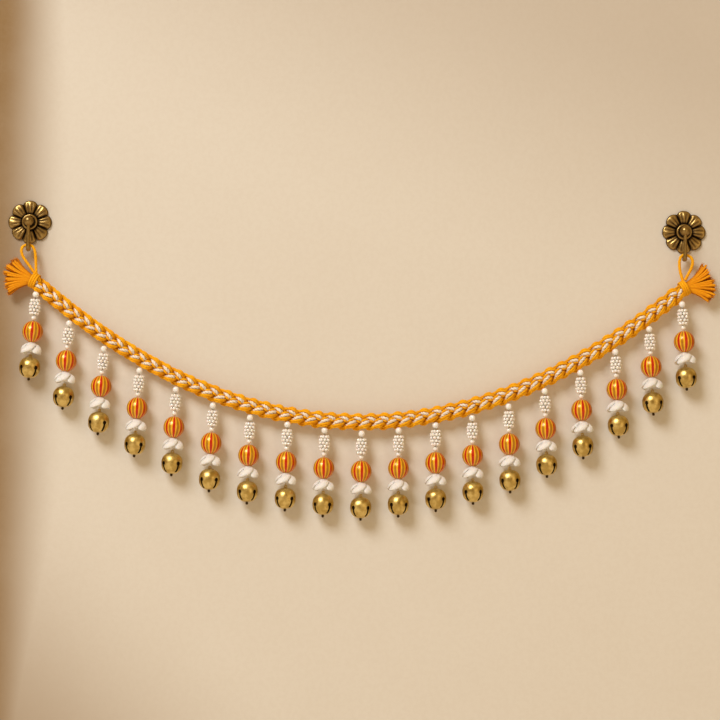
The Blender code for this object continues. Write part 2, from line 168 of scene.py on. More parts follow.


# %% [markdown]
# ## Yarn finish
# Yarn is a bundle of fine fibres that wind along it. Each yarn made below carries two attributes: ring,
# the place on its round section, and along, the distance on its path. Noise that is stretched along
# the path and follows the ring gives fibres that turn with the twist. The valleys between the plies are
# darker, as painted shade, and every yarn has its own slight tone. A third attribute, hollow, says how
# deep a place lies between its neighbours, where little light gets in, and the colour there is darkened
# towards a shadow colour: painted shade. A soft sheen gives the bright edge of fibre.

# %% Yarn finish
def yarn_surface(shadow, deep, middle, light, fleck_share, sheen):
    """Returns the surface of a twisted yarn with the given colours."""
    def surface(tree):
        ring = add(tree, "ShaderNodeAttribute", attribute_name="ring").outputs["Vector"]
        along = add(tree, "ShaderNodeAttribute", attribute_name="along").outputs["Fac"]
        tone = add(tree, "ShaderNodeAttribute", attribute_name="tone").outputs["Fac"]
        flat = add(tree, "ShaderNodeSeparateXYZ", {0: ring})
        fibre_place = add(tree, "ShaderNodeCombineXYZ", {
            0: math_of(tree, "ADD", flat.outputs[0], math_of(tree, "MULTIPLY", tone, 7.0)),
            1: flat.outputs[1], 2: math_of(tree, "MULTIPLY", along, 55.0)}).outputs[0]
        fibres = noise(tree, fibre_place, 5.5, 4.0)
        clumps = noise(tree, fibre_place, 1.6, 2.0)
        # Painted shade: the valleys between the plies, where the ring is shortest, are darkened towards the deep
        # colour.
        depth = add(tree, "ShaderNodeVectorMath", {0: ring}, operation="LENGTH").outputs["Value"]
        open_share = ranged(tree, depth, 0.72, 0.98)
        colour = mixed(tree, ranged(tree, fibres, 0.28, 0.52, 0.45, 1.0), deep, middle)
        colour = mixed(tree, ranged(tree, clumps, 0.42, 0.72, 0.0, 0.75), colour, light)
        colour = mixed(tree, ranged(tree, open_share, 0.0, 1.0, 0.7, 0.0), colour, deep)
        place = add(tree, "ShaderNodeTexCoord").outputs["Object"]
        colour = mixed(tree, ranged(tree, noise(tree, place, 60.0, 2.0), 0.35, 0.7, 0.0, 0.35), colour, middle)
        colour = mixed(tree, ranged(tree, tone, 0.0, 1.0, 0.0, 0.22), colour, deep)
        # Painted shade: the deeper the hollow attribute, the closer the colour goes to the shadow colour.
        hollow = add(tree, "ShaderNodeAttribute", attribute_name="hollow").outputs["Fac"]
        colour = mixed(tree, ranged(tree, hollow, 0.0, 1.0, 0.0, 0.92), colour, shadow)
        if fleck_share:
            fleck = noise(tree, scaled(tree, fibre_place, (1.0, 1.0, 3.0)), 3.1, 2.0)
            colour = mixed(tree, ranged(tree, fleck, 1.0 - fleck_share, 1.06 - fleck_share, 0.0, 0.85),
                           colour, rgb(0.16, 0.085, 0.03))
        height = math_of(tree, "ADD", fibres, math_of(tree, "MULTIPLY", clumps, 0.8))
        bump = add(tree, "ShaderNodeBump", {"Strength": 0.55, "Distance": 0.0004, "Height": height})
        return add(tree, "ShaderNodeBsdfPrincipled", {
            "Base Color": colour, "Roughness": 0.72, "Normal": bump.outputs[0], "Sheen Weight": sheen,
            "Sheen Roughness": 0.35, "Specular IOR Level": 0.18})
    return surface


YELLOW_YARN = new_material("golden_yellow_yarn", yarn_surface(
    rgb(0.40, 0.085, 0.001), rgb(0.72, 0.23, 0.003), rgb(0.97, 0.46, 0.004), rgb(1.0, 0.63, 0.02), 0.0, 0.04))
WHITE_YARN = new_material("warm_white_yarn", yarn_surface(
    rgb(0.42, 0.22, 0.07), rgb(0.74, 0.58, 0.42), rgb(0.96, 0.91, 0.83), rgb(1.0, 0.98, 0.95), 0.30, 0.2))
TASSEL_YARN = new_material("loose_orange_yarn", yarn_surface(
    rgb(0.36, 0.08, 0.001), rgb(0.62, 0.18, 0.002), rgb(0.90, 0.36, 0.003), rgb(0.98, 0.50, 0.010), 0.0, 0.05))
print("yarn finishes made")

# %% [markdown]
# ## A Geometry Nodes tree that spins yarn
# Yarn, cord and thread all follow a path, so one tree makes them. It takes a chain of edges, turns it into
# a curve, and twists the curve as it goes along. A section with one bump for each ply is swept on it, so the
# plies wind round as in a real yarn. A size attribute on the path lets a yarn swell or thin out.

# %% Tools for growing meshes
def new_maker(name, inputs):
    """An empty Geometry Nodes tree with named inputs. Returns the tree and its two ends."""
    tree = bpy.data.node_groups.new(name, "GeometryNodeTree")
    tree.interface.new_socket("Geometry", in_out="INPUT", socket_type="NodeSocketGeometry")
    for label, kind in inputs.items():
        tree.interface.new_socket(label, in_out="INPUT", socket_type="NodeSocket" + kind)
    tree.interface.new_socket("Geometry", in_out="OUTPUT", socket_type="NodeSocketGeometry")
    return tree, add(tree, "NodeGroupInput"), add(tree, "NodeGroupOutput")


def close_maker(tree, end, geometry, material):
    """Ends a tree: instances become real mesh, smooth, with its material."""
    real = add(tree, "GeometryNodeRealizeInstances", {0: geometry})
    smooth = add(tree, "GeometryNodeSetShadeSmooth", {"Geometry": real.outputs[0]})
    painted = add(tree, "GeometryNodeSetMaterial", {"Geometry": smooth.outputs[0], "Material": material})
    tree.links.new(painted.outputs[0], end.inputs[0])


def new_object(name, mesh):
    obj = bpy.data.objects.new(name, mesh)
    scene.collection.objects.link(obj)
    return obj


def grow(obj, tree, values):
    """Runs the tree on the object with these input values, and keeps the result as its plain mesh."""
    modifier = obj.modifiers.new(tree.name, "NODES")
    modifier.node_group = tree
    for socket in tree.interface.items_tree:
        if socket.item_type == "SOCKET" and socket.in_out == "INPUT" and socket.name in values:
            modifier[socket.identifier] = values[socket.name]
    depsgraph = bpy.context.evaluated_depsgraph_get()
    mesh = bpy.data.meshes.new_from_object(obj.evaluated_get(depsgraph))
    obj.modifiers.remove(modifier)
    obj.data = mesh
    return obj


def chains(name, paths, sizes=None):
    """An object whose mesh holds each path as a chain of edges, with a size at each point."""
    edges = []
    first = 0
    for path in paths:
        edges += [(first + i, first + i + 1) for i in range(len(path) - 1)]
        first += len(path)
    points = np.concatenate([np.asarray(path, dtype=float) for path in paths])
    mesh = bpy.data.meshes.new(name)
    mesh.from_pydata(points.tolist(), edges, [])
    values = np.ones(len(points)) if sizes is None else np.concatenate(sizes)
    mesh.attributes.new("size", "FLOAT", "POINT").data.foreach_set("value", values)
    return new_object(name, mesh)


# %% The yarn tree
def make_yarn_tree():
    """Chains of edges in, twisted yarns out."""
    tree, start, end = new_maker("spin yarn", {
        "Radius": "Float", "Plies": "Int", "Ply Depth": "Float", "Twist Length": "Float", "Sides": "Int",
        "Seed": "Int", "Material": "Material"})
    feed = start.outputs
    curve = add(tree, "GeometryNodeMeshToCurve", {"Mesh": feed["Geometry"]}).outputs[0]
    length = add(tree, "GeometryNodeSplineParameter").outputs["Length"]
    turns = math_of(tree, "DIVIDE", length, feed["Twist Length"])
    curve = add(tree, "GeometryNodeSetCurveTilt",
                {"Curve": curve, "Tilt": math_of(tree, "MULTIPLY", turns, math.tau)}).outputs[0]
    curve = add(tree, "GeometryNodeStoreNamedAttribute",
                {"Geometry": curve, "Name": "along", "Value": length}).outputs[0]
    which = add(tree, "GeometryNodeCurveOfPoint").outputs["Curve Index"]
    shade = add(tree, "FunctionNodeRandomValue", {"ID": which, "Seed": feed["Seed"]}, data_type="FLOAT")
    curve = add(tree, "GeometryNodeStoreNamedAttribute",
                {"Geometry": curve, "Name": "tone", "Value": shade.outputs[1]}).outputs[0]
    section = add(tree, "GeometryNodeCurvePrimitiveCircle", {"Resolution": feed["Sides"], "Radius": 1.0}).outputs[0]
    step = math_of(tree, "DIVIDE", add(tree, "GeometryNodeInputIndex").outputs[0], feed["Sides"])
    half_angle = math_of(tree, "MULTIPLY", math_of(tree, "MULTIPLY", step, math.pi), feed["Plies"])
    bump = math_of(tree, "ABSOLUTE", math_of(tree, "COSINE", half_angle))
    dent = math_of(tree, "MULTIPLY", math_of(tree, "SUBTRACT", 1.0, bump), feed["Ply Depth"])
    reach = math_of(tree, "SUBTRACT", 1.0, dent)
    place = add(tree, "GeometryNodeInputPosition").outputs[0]
    lobed = add(tree, "ShaderNodeVectorMath", {0: place, "Scale": reach}, operation="SCALE").outputs[0]
    section = add(tree, "GeometryNodeSetPosition", {"Geometry": section, "Position": lobed}).outputs[0]
    section = add(tree, "GeometryNodeStoreNamedAttribute",
                  {"Geometry": section, "Name": "ring", "Value": place}, data_type="FLOAT_VECTOR").outputs[0]
    size = add(tree, "GeometryNodeInputNamedAttribute", {"Name": "size"}, data_type="FLOAT").outputs[0]
    tube = add(tree, "GeometryNodeCurveToMesh", {
        "Curve": curve, "Profile Curve": section, "Fill Caps": True,
        "Scale": math_of(tree, "MULTIPLY", size, feed["Radius"])}).outputs[0]
    close_maker(tree, end, tube, feed["Material"])
    return tree


YARN_TREE = make_yarn_tree()


def spin(name, paths, radius, material, plies=3, ply_depth=0.14, twist=0.009, sides=10, sizes=None, seed=1):
    """Yarns on the given paths, as one piece."""
    piece = grow(chains(name, paths, sizes), YARN_TREE, {
        "Radius": radius, "Plies": plies, "Ply Depth": ply_depth, "Twist Length": twist, "Sides": sides,
        "Seed": seed, "Material": material})
    print(name, len(piece.data.polygons), "faces")
    return piece


def points_of(piece):
    """The places of a piece's points, as an array."""
    places = np.empty(len(piece.data.vertices) * 3)
    piece.data.vertices.foreach_get("co", places)
    return places.reshape(-1, 3)


def darken(piece, hollow):
    """Stores how deep each point lies between its neighbours, from 0 to 1, for the painted shade of the yarn finish."""
    values = np.clip(hollow, 0, 1)
    piece.data.attributes.new("hollow", "FLOAT", "POINT").data.foreach_set("value", values)


def settle(piece, slot, *nodes):
    """Fixes a finished piece to the frame and hides the solids it stands for; slot is not used."""
    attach(piece, "root")
    if nodes:
        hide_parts(*nodes)
    return piece


# %% [markdown]
# ## The swag's line
# Everything hangs on one line: the middle of the plait, a shallow bow between the two wraps. It is nearly
# a parabola, as for any chain of even weights. Points on it are found by the distance from the left wrap.

# %% The swag's line
SWAG_Y = -0.013
LEFT_WRAP_X = -0.4480
RIGHT_WRAP_X = 0.4570
SWAG_BOTTOM_X = 0.0025
SWAG_BOTTOM_Z = -0.2728
SWAG_CURVE = 0.935
CURVE_X = np.linspace(LEFT_WRAP_X, RIGHT_WRAP_X, 2001)
CURVE_Z = SWAG_BOTTOM_Z + SWAG_CURVE * (CURVE_X - SWAG_BOTTOM_X) ** 2
CURVE_S = np.concatenate(([0.0], np.cumsum(np.hypot(np.diff(CURVE_X), np.diff(CURVE_Z)))))
SWAG_LENGTH = float(CURVE_S[-1])


def swag(s):
    """Points of the middle line at the distances s, the way along it and the way up across it."""
    x = np.interp(s, CURVE_S, CURVE_X)
    slope = 2 * SWAG_CURVE * (x - SWAG_BOTTOM_X)
    z = SWAG_BOTTOM_Z + SWAG_CURVE * (x - SWAG_BOTTOM_X) ** 2
    level = np.zeros_like(x)
    along = np.stack([np.ones_like(x), level, slope], axis=1) / np.hypot(1, slope)[:, None]
    up = np.stack([-along[:, 2], level, along[:, 0]], axis=1)
    return np.stack([x, np.full_like(x, SWAG_Y), z], axis=1), along, up


print("swag", round(SWAG_LENGTH * 1000), "mm between the wraps")

# %% [markdown]
# ## Wraps
# Each end of the plait is bound with a few tight turns of the same yarn. A helix gives the turns, laid side
# by side with a slight unevenness, and a thick core under them fills the knot, as the plait's own ends do.

# %% Wraps
WRAP_TILT = math.radians(24)
WRAP_LENGTH = 0.0135
WRAP_RADIUS = 0.0115
WRAP_TURNS = 3.0
WRAP_YARN = 0.00205


def wrap_frame(side):
    """Middle of a wrap, the way from it into the plait, and the way up across it (side -1 is left)."""
    middle = swag(np.array([0.0 if side < 0 else SWAG_LENGTH]))[0][0]
    inward = np.array([-side * math.cos(WRAP_TILT), 0.0, -math.sin(WRAP_TILT)])
    across = np.array([-side * math.sin(WRAP_TILT), 0.0, math.cos(WRAP_TILT)])
    return middle, inward, across


def make_wrap(name, node, side):
    middle, inward, across = wrap_frame(side)
    rng = np.random.default_rng(11 + side)
    t = np.linspace(0, 1, 230)
    angle = math.tau * WRAP_TURNS * t + 0.9
    reach = WRAP_RADIUS - WRAP_YARN - 0.0007 * (2 * t - 1) ** 2
    place = (t - 0.5) * (WRAP_LENGTH - 2 * WRAP_YARN) + 0.00035 * np.sin(angle + rng.uniform(0, 6))
    ring = np.cos(angle)[:, None] * across + np.sin(angle)[:, None] * np.array([0, 1, 0])
    turns = middle + inward * place[:, None] + ring * reach[:, None]
    core_t = np.linspace(-0.5, 0.5, 7)
    core = middle + inward * (core_t * (WRAP_LENGTH - 0.002))[:, None]
    core_size = (WRAP_RADIUS - WRAP_YARN * 1.9) / WRAP_YARN * np.array([0.8, 0.95, 1, 1, 1, 0.95, 0.8])
    piece = spin(name, [turns, core], WRAP_YARN, YELLOW_YARN, sides=12, twist=0.011, ply_depth=0.10,
                 sizes=[np.ones(len(t)), core_size], seed=5)
    # Painted shade: the distance from the wrap's axis makes the yarn darker under the turns, towards the core.
    offset = points_of(piece) - middle
    from_axis = np.linalg.norm(offset - np.outer(offset @ inward, inward), axis=1)
    darken(piece, (WRAP_RADIUS - 0.0006 - from_axis) / 0.0024)
    return settle(piece, "yarn", node)


wraps = [make_wrap("wrap_yarn_left", "wrap_left", -1), make_wrap("wrap_yarn_right", "wrap_right", 1)]

# %% [markdown]
# ## Hanging loops
# A cord loop comes out of each wrap, goes up over the hook's bend and comes back. It is one cord, whose
# route is a short list of places measured from the hook. A smooth curve through them gives the path, and
# the yarn tree lays three plies on it. Its two ends are caught under the wrap's turns.

# %% Hanging loops
LOOP_DIAMETER = 0.0043
LEFT_ROUTE = ((0.0046, -0.0658), (0.0022, -0.0625), (-0.0010, -0.0585), (-0.0050, -0.0530), (-0.0084, -0.0465),
              (-0.0094, -0.0405), (-0.0076, -0.0360), (-0.0038, -0.0338), (0.0, -0.0333), (0.0038, -0.0341),
              (0.0072, -0.0372), (0.0095, -0.0430), (0.0105, -0.0500), (0.0111, -0.0580), (0.0115, -0.0650))
RIGHT_ROUTE = ((-0.0040, -0.0640), (-0.0062, -0.0560), (-0.0073, -0.0480), (-0.0070, -0.0415),
               (-0.0053, -0.0362), (-0.0027, -0.0338), (0.0, -0.0333), (0.0036, -0.0336), (0.0072, -0.0354),
               (0.0102, -0.0388), (0.0112, -0.0432), (0.0100, -0.0492), (0.0074, -0.0556), (0.0046, -0.0610))
CAUGHT_LENGTH = 0.0085


def smooth_route(points, count):
    """Points at even steps along a smooth curve through the given ones."""
    known = np.array([tuple(point) for point in points])
    steps = np.concatenate(([0.0], np.cumsum(np.linalg.norm(np.diff(known, axis=0), axis=1))))
    slopes = np.gradient(known, steps, axis=0)
    fine = []
    for i in range(len(known) - 1):
        width = steps[i + 1] - steps[i]
        for t in np.linspace(0.0, 1.0, 12, endpoint=False):
            fine.append((2 * t**3 - 3 * t**2 + 1) * known[i] + (t**3 - 2 * t**2 + t) * width * slopes[i]
                        + (3 * t**2 - 2 * t**3) * known[i + 1] + (t**3 - t**2) * width * slopes[i + 1])
    fine = np.array(fine + [known[-1]])
    lengths = np.concatenate(([0.0], np.cumsum(np.linalg.norm(np.diff(fine, axis=0), axis=1))))
    wanted = np.linspace(0.0, lengths[-1], count)
    return np.stack([np.interp(wanted, lengths, fine[:, axis]) for axis in range(3)], axis=1)


def path_length(path):
    return float(np.linalg.norm(np.diff(path, axis=0), axis=1).sum())


def make_loop(name, node, side, route):
    points = [np.array((side * HOOK_X + x, SWAG_Y, z)) for x, z in route]
    for end, inner in ((0, 1), (-1, -2)):
        way = points[end] - points[inner]
        foot = points[end] + way / np.linalg.norm(way) * CAUGHT_LENGTH
        points.insert(0, foot) if end == 0 else points.append(foot)
    path = smooth_route(points, 90)
    piece = spin(name, [path], LOOP_DIAMETER / 2, YELLOW_YARN, ply_depth=0.16, twist=0.016, sides=18)
    settle(piece, "yarn", node)
    length = path_length(path)
    print(name, "is", round(length * 1000), "mm of cord")
    return piece, path, length


loops = [make_loop("loop_cord_left", "loop_left", -1, LEFT_ROUTE),
         make_loop("loop_cord_right", "loop_right", 1, RIGHT_ROUTE)]

# %% [markdown]
# ## The plait
# Three strands are plaited over and under. Seen from the end, each strand's middle runs in a figure of
# eight, and the three follow one another a third of a turn apart. A strand isn't a rope but a flat bundle:
# smooth yellow yarns lie side by side, and a thicker white yarn runs between them on the inner side. The
# crossings squeeze the bundle and push the white yarn in, so white shows as a short lens in every lobe.
# The bundle rolls over where the other strands hide it, and every yarn wanders a little in it.

# %% Paths of the strands
PLAIT_PITCH = 0.0557
PLAIT_SWING = 0.0058
PLAIT_DEPTH = 0.0056
PLAIT_HALF_HEIGHT = 0.0108
PLAIT_HALF_DEPTH = 0.0088
PLAIT_ROLL = math.radians(15)
BUNDLE_FLIP = 0.26
STEP = 0.0012
YELLOW_RADIUS = 0.00168
WHITE_RADIUS = 0.00235
YELLOW_PLACES = ((0.0049, -0.0007), (0.0026, 0.0009), (0.0020, -0.0025), (-0.0016, -0.0025), (-0.0049, 0.0003))
WHITE_PLACE = (-0.0014, 0.0007)
SQUEEZE = 0.40
WHITE_SINK = 0.0022


def strand_frame(s, strand):
    """Middle of one strand at the distances s, its width direction and its outward direction."""
    middle, along, up = swag(s)
    phase = math.tau * (s / PLAIT_PITCH + strand / 3)
    near_end = np.clip(np.minimum(s, SWAG_LENGTH - s) / 0.017, 0, 1)
    swing = (PLAIT_SWING * (0.55 + 0.45 * near_end) * np.sin(phase))[:, None]
    depth = (PLAIT_DEPTH * np.sin(2 * phase))[:, None]
    roll = (PLAIT_ROLL * np.clip((s - 0.18) / 0.25, 0, 1))[:, None]
    back = np.array([0.0, 1.0, 0.0])
    centre = (middle + up * (swing * np.cos(roll) - depth * np.sin(roll))
              + back * (depth * np.cos(roll) + swing * np.sin(roll)))
    way = np.gradient(centre, s, axis=0)
    way /= np.linalg.norm(way, axis=1)[:, None]
    high = up - way * (up * way).sum(axis=1)[:, None]
    high /= np.linalg.norm(high, axis=1)[:, None]
    front = np.cross(way, high)
    roll = math.pi * (0.5 - 0.5 * np.tanh(np.sin(phase) / BUNDLE_FLIP))
    wide = high * np.cos(roll)[:, None] + front * np.sin(roll)[:, None]
    out = front * -np.tanh(np.sin(2 * phase) / BUNDLE_FLIP)[:, None]
    return centre, wide, out


def wander(s, seed, amount):
    """A slow, smooth unevenness along the plait."""
    rng = np.random.default_rng(seed)
    total = np.zeros_like(s)
    for wave_length in (0.023, 0.041, 0.087):
        total += np.sin(math.tau * (s / wave_length + rng.uniform()))
    return amount * total / 2


def bundle_path(strand, place, seed, sink=0.0):
    """Path of one yarn, at its place across and out of the strand's middle, where crossings squeeze it in."""
    s = np.linspace(0.0, SWAG_LENGTH, int(SWAG_LENGTH / STEP * 1.25))
    centre, wide, out = strand_frame(s, strand)
    squeezed = 1 - np.abs(np.sin(2 * math.tau * (s / PLAIT_PITCH + strand / 3)))
    across = place[0] * (1 - SQUEEZE * squeezed) + wander(s, seed, 0.00022)
    outward = place[1] - sink * (squeezed - 0.25) + wander(s, seed + 50, 0.00018)
    return centre + wide * across[:, None] + out * outward[:, None]


def hollows(piece):
    """How deep each point lies in the plait, 1 in its middle and 0 at its surface, for painted shade."""
    offset = points_of(piece)
    middle, along, up = swag(np.interp(offset[:, 0], CURVE_X, CURVE_S))
    offset = offset - middle
    height = (offset * up).sum(axis=1) / PLAIT_HALF_HEIGHT
    depth = offset[:, 1] / PLAIT_HALF_DEPTH
    return (0.82 - np.hypot(height, depth)) / 0.50


# %% Yarns of the plait
def make_strand(strand):
    paths = [bundle_path(strand, place, 10 * strand + i) for i, place in enumerate(YELLOW_PLACES)]
    yellow = spin("plait_yellow_%d" % (strand + 1), paths, YELLOW_RADIUS, YELLOW_YARN, sides=9,
                  ply_depth=0.07, twist=0.018, seed=strand)
    # Painted shade, deeper towards the plait's middle; the white yarn gets less of it.
    darken(yellow, hollows(yellow))
    settle(yellow, "yarn", "plait_strand_%d" % (strand + 1))
    white = spin("plait_white_%d" % (strand + 1), [bundle_path(strand, WHITE_PLACE, 10 * strand + 9, WHITE_SINK)],
                 WHITE_RADIUS, WHITE_YARN, plies=2, ply_depth=0.22, twist=0.0090, sides=12, seed=strand)
    darken(white, hollows(white) * 0.7)
    settle(white, "yarn")
    print("strand", strand + 1, "yellow yarns of", [round(path_length(path) * 1000) for path in paths], "mm")
    return yellow, white


strands = [make_strand(strand) for strand in range(3)]

# %% [markdown]
# ## Tassels
# Behind each wrap the plait's cut ends fan out. They are loose, soft yarns, so each one is thicker at its
# tip than at the wrap, where it is squeezed. The fan spreads the yarns evenly by angle, in a few layers
# between front and back, and seeded changes in length and direction keep it from looking combed. Fine
# fibres stand out of every cut end.

# %% Tassels
TASSEL_MIDDLE = math.radians(10)
TASSEL_SPREAD = math.radians(60)
TASSEL_REACH = 0.0350
TASSEL_HALF_ROOT = 0.0066
TASSEL_HALF_DEPTH = 0.0048
TASSEL_ROWS = 13
TASSEL_LAYERS = 5
TASSEL_YARN_RADIUS = 0.00155
FIBRES_AT_TIP = 3
FIBRE_RADIUS = 0.00022


def fan_point(base, outward, raised, height, layer, reach):
    """A point of the fan: height and layer are -1 to 1, reach is the distance from the wrap."""
    part = reach / TASSEL_REACH
    angle = height * TASSEL_SPREAD * (0.35 + 0.325 * part)
    depth = TASSEL_HALF_DEPTH * math.sqrt(1 - 0.7 * height ** 2) * (1 + 0.35 * part)
    return (base + raised * height * TASSEL_HALF_ROOT
            + (outward * math.cos(angle) + raised * math.sin(angle)) * reach + np.array([0, layer * depth, 0]))


def make_tassel(name, node, side):
    middle, inward, across = wrap_frame(side)
    outward = np.array([side * math.cos(TASSEL_MIDDLE), 0.0, math.sin(TASSEL_MIDDLE)])
    raised = np.array([-side * math.sin(TASSEL_MIDDLE), 0.0, math.cos(TASSEL_MIDDLE)])
    base = middle - inward * 0.004
    rng = random.Random(21 + side)
    paths, sizes, fibres = [], [], []
    for layer in np.linspace(-1, 1, TASSEL_LAYERS):
        for row in range(TASSEL_ROWS):
            height = (row + 0.5 + rng.uniform(-0.25, 0.25)) / TASSEL_ROWS * 2 - 1
            full = (TASSEL_REACH + 0.0030) * (1 - 0.16 * height ** 2) * rng.uniform(0.87, 1.04)
            bend = rng.uniform(-0.0024, 0.0024)
            reaches = np.linspace(0.0, full, 16)
            path = [fan_point(base, outward, raised, height, layer, reach)
                    + raised * bend * (reach / full) ** 2 for reach in reaches]
            paths.append(np.array(path))
            part = reaches / full
            size = 0.72 + 0.52 * part
            size[-1] *= 0.80
            sizes.append(size * rng.uniform(0.92, 1.08))
            tip = path[-1]
            way = (path[-1] - path[-3]) / np.linalg.norm(path[-1] - path[-3])
            for _ in range(FIBRES_AT_TIP):
                aside = np.array([rng.gauss(0, 1) for _ in range(3)])
                aside -= way * aside.dot(way)
                aside *= rng.uniform(0.2, 1.0) / np.linalg.norm(aside)
                root = tip - way * 0.002 + aside * TASSEL_YARN_RADIUS * 0.9
                free = rng.uniform(0.0025, 0.0052)
                fibres.append(np.array([root, root + way * free * 0.5, root + way * free + aside * free * 0.28]))
    piece = spin(name, paths, TASSEL_YARN_RADIUS, TASSEL_YARN, plies=4, ply_depth=0.10, twist=0.030,
                 sides=10, sizes=sizes, seed=7)
    # Painted shade: darker between the fan's layers, and darker still at the root by the wrap.
    offset = points_of(piece) - base
    reach = np.clip((offset @ outward) / TASSEL_REACH, 0, 1)
    room = (TASSEL_HALF_DEPTH + TASSEL_YARN_RADIUS) * (1 + 0.35 * reach)
    darken(piece, (0.84 - np.abs(offset[:, 1]) / room) / 0.62 + 0.30 * (1 - reach * 4).clip(0, 1))
    ends = spin(name + "_fibres", fibres, FIBRE_RADIUS, TASSEL_YARN, plies=1, ply_depth=0.0, twist=0.02,
                sides=4, seed=8)
    settle(ends, "yarn")
    return settle(piece, "yarn", node)


tassels = [make_tassel("tassel_yarn_left", "tassel_left", -1), make_tassel("tassel_yarn_right", "tassel_right", 1)]

# %% [markdown]
# ## Turned and lofted shapes
# Beads, bells and knobs are turned shapes: a profile spun round an axis. Petals are lofted: rings of points
# that grow and shrink along a line. One helper joins rings of points with quads and closes the two ends
# in a point, and lays a UV map on the result: u goes round, v goes along.

# %% Loft helper
def loft(name, rings, start_point, end_point):
    """A closed mesh from rings of points, with a point at each end and a UV map."""
    rings = np.asarray(rings, dtype=float)
    count, sides = rings.shape[:2]
    vertices = [*rings.reshape(-1, 3).tolist(), list(start_point), list(end_point)]
    first, last = count * sides, count * sides + 1
    faces, uvs = [], []
    for row in range(count - 1):
        for i in range(sides):
            j = (i + 1) % sides
            faces.append((row * sides + i, row * sides + j, (row + 1) * sides + j, (row + 1) * sides + i))
            uvs += [(i / sides, row / count), ((i + 1) / sides, row / count),
                    ((i + 1) / sides, (row + 1) / count), (i / sides, (row + 1) / count)]
    for i in range(sides):
        j = (i + 1) % sides
        faces.append((first, j, i))
        uvs += [((i + 0.5) / sides, 0.0), ((i + 1) / sides, 0.0), (i / sides, 0.0)]
        base = (count - 1) * sides
        faces.append((last, base + i, base + j))
        uvs += [((i + 0.5) / sides, 1.0), (i / sides, 1.0), ((i + 1) / sides, 1.0)]
    mesh = bpy.data.meshes.new(name)
    mesh.from_pydata(vertices, [], faces)
    mesh.uv_layers.new(name="wrap").data.foreach_set("uv", np.array(uvs).ravel())
    mesh.shade_smooth()
    return mesh


def outward_normals(mesh):
    """Turns every face of a closed mesh to point out."""
    bm = bmesh.new()
    bm.from_mesh(mesh)
    bmesh.ops.recalc_face_normals(bm, faces=bm.faces)
    bm.to_mesh(mesh)
    bm.free()
    return mesh


def turned(name, profile, sides, top, bottom):
    """A turned shape: profile rows are (distance below the origin, radius), ends are distances on the axis."""
    angles = np.linspace(0, math.tau, sides, endpoint=False)
    rings = [[(radius * math.cos(a), radius * math.sin(a), -drop) for a in angles] for drop, radius in profile]
    return outward_normals(loft(name, rings, (0, 0, -top), (0, 0, -bottom)))


def joined(name, parts, materials):
    """One mesh from several. Each part is a mesh, its material number (None keeps its own) and its matrix."""
    bm = bmesh.new()
    for mesh, number, matrix in parts:
        copy = mesh.copy()
        copy.transform(matrix)
        before = len(bm.faces)
        bm.from_mesh(copy)
        bm.faces.ensure_lookup_table()
        for face in bm.faces[before:] if number is not None else ():
            face.material_index = number
        bpy.data.meshes.remove(copy)
    result = bpy.data.meshes.new(name)
    bm.to_mesh(result)
    bm.free()
    for material in materials:
        result.materials.append(material)
    return result


# %% [markdown]
# ## Where each pendant hangs
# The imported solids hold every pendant's place and lean. Its highest point is the top pearl's pole and its
# lowest is under the petal cap, so the line between them is the pendant's axis. Masters are modelled
# once, measured down from the top pearl's middle, and copied into these nineteen places.

# %% Pendant places
PENDANTS = 19
TOP_PEARL_RADIUS = 0.0050
BELL_DROP = 0.0851


def pendant_place(number):
    """The matrix from a pendant's own axes, with z up its thread, to the wall's frame."""
    mesh = frame["nodes"]["string_%02d" % number].data
    points = np.empty(len(mesh.vertices) * 3)
    mesh.vertices.foreach_get("co", points)
    points = points.reshape(-1, 3)
    top = points[points[:, 2].argmax()]
    bottom = points[points[:, 2].argmin()]
    up = (top - bottom) / np.linalg.norm(top - bottom)
    back = np.array([0.0, 1.0, 0.0])
    right = np.cross(back, up)
    origin = top - up * TOP_PEARL_RADIUS
    matrix = Matrix.Identity(4)
    for column, axis in enumerate((right, back, up, origin)):
        for row in range(3):
            matrix[row][column] = axis[row]
    return matrix


places = {number: pendant_place(number) for number in range(1, PENDANTS + 1)}
print("pendant 10 hangs from", [round(value, 4) for value in places[10].translation])

# %% [markdown]
# ## Pearls
# Under the plait hangs a 10 mm pearl, then a column of five rings of seven small pearls, netted with thread,
# then a 7 mm pearl. The rings repeat with half a step of turn, so this is work for instances: points are
# placed by their number, a low-faced pearl goes on each, and a random tone tells the pearls apart.

# %% Pearl finish
def pearl_surface(tree):
    place = add(tree, "ShaderNodeTexCoord").outputs["Object"]
    tone = add(tree, "ShaderNodeAttribute", attribute_name="tone").outputs["Fac"]
    cloud = noise(tree, place, 420.0, 2.0)
    colour = mixed(tree, ranged(tree, tone, 0.0, 1.0, 0.0, 0.55), rgb(0.93, 0.94, 0.94), rgb(0.88, 0.84, 0.78))
    colour = mixed(tree, ranged(tree, cloud, 0.4, 0.7, 0.0, 0.4), colour, rgb(0.94, 0.94, 0.93))
    bump = add(tree, "ShaderNodeBump", {"Strength": 0.15, "Distance": 0.0001, "Height": cloud})
    return add(tree, "ShaderNodeBsdfPrincipled", {
        "Base Color": colour, "Roughness": 0.22, "Normal": bump.outputs[0], "Coat Weight": 1.0,
        "Coat Roughness": 0.06, "Subsurface Weight": 0.15, "Subsurface Radius": (1.0, 0.7, 0.5),
        "Subsurface Scale": 0.0015, "Sheen Weight": 0.15})


PEARL = new_material("ivory_pearl", pearl_surface)

# %% Pearls in their column
FIRST_RING_DROP = 0.0103
RING_STEP = 0.00445
COLUMN_RADIUS = 0.00615
SMALL_PEARL = 0.0024
COLUMN_PINCH = 0.20
LOWER_PEARL_DROP = 0.0342
TOP_PEARL_DROP = 0.0014
TOP_PEARL = 0.0046


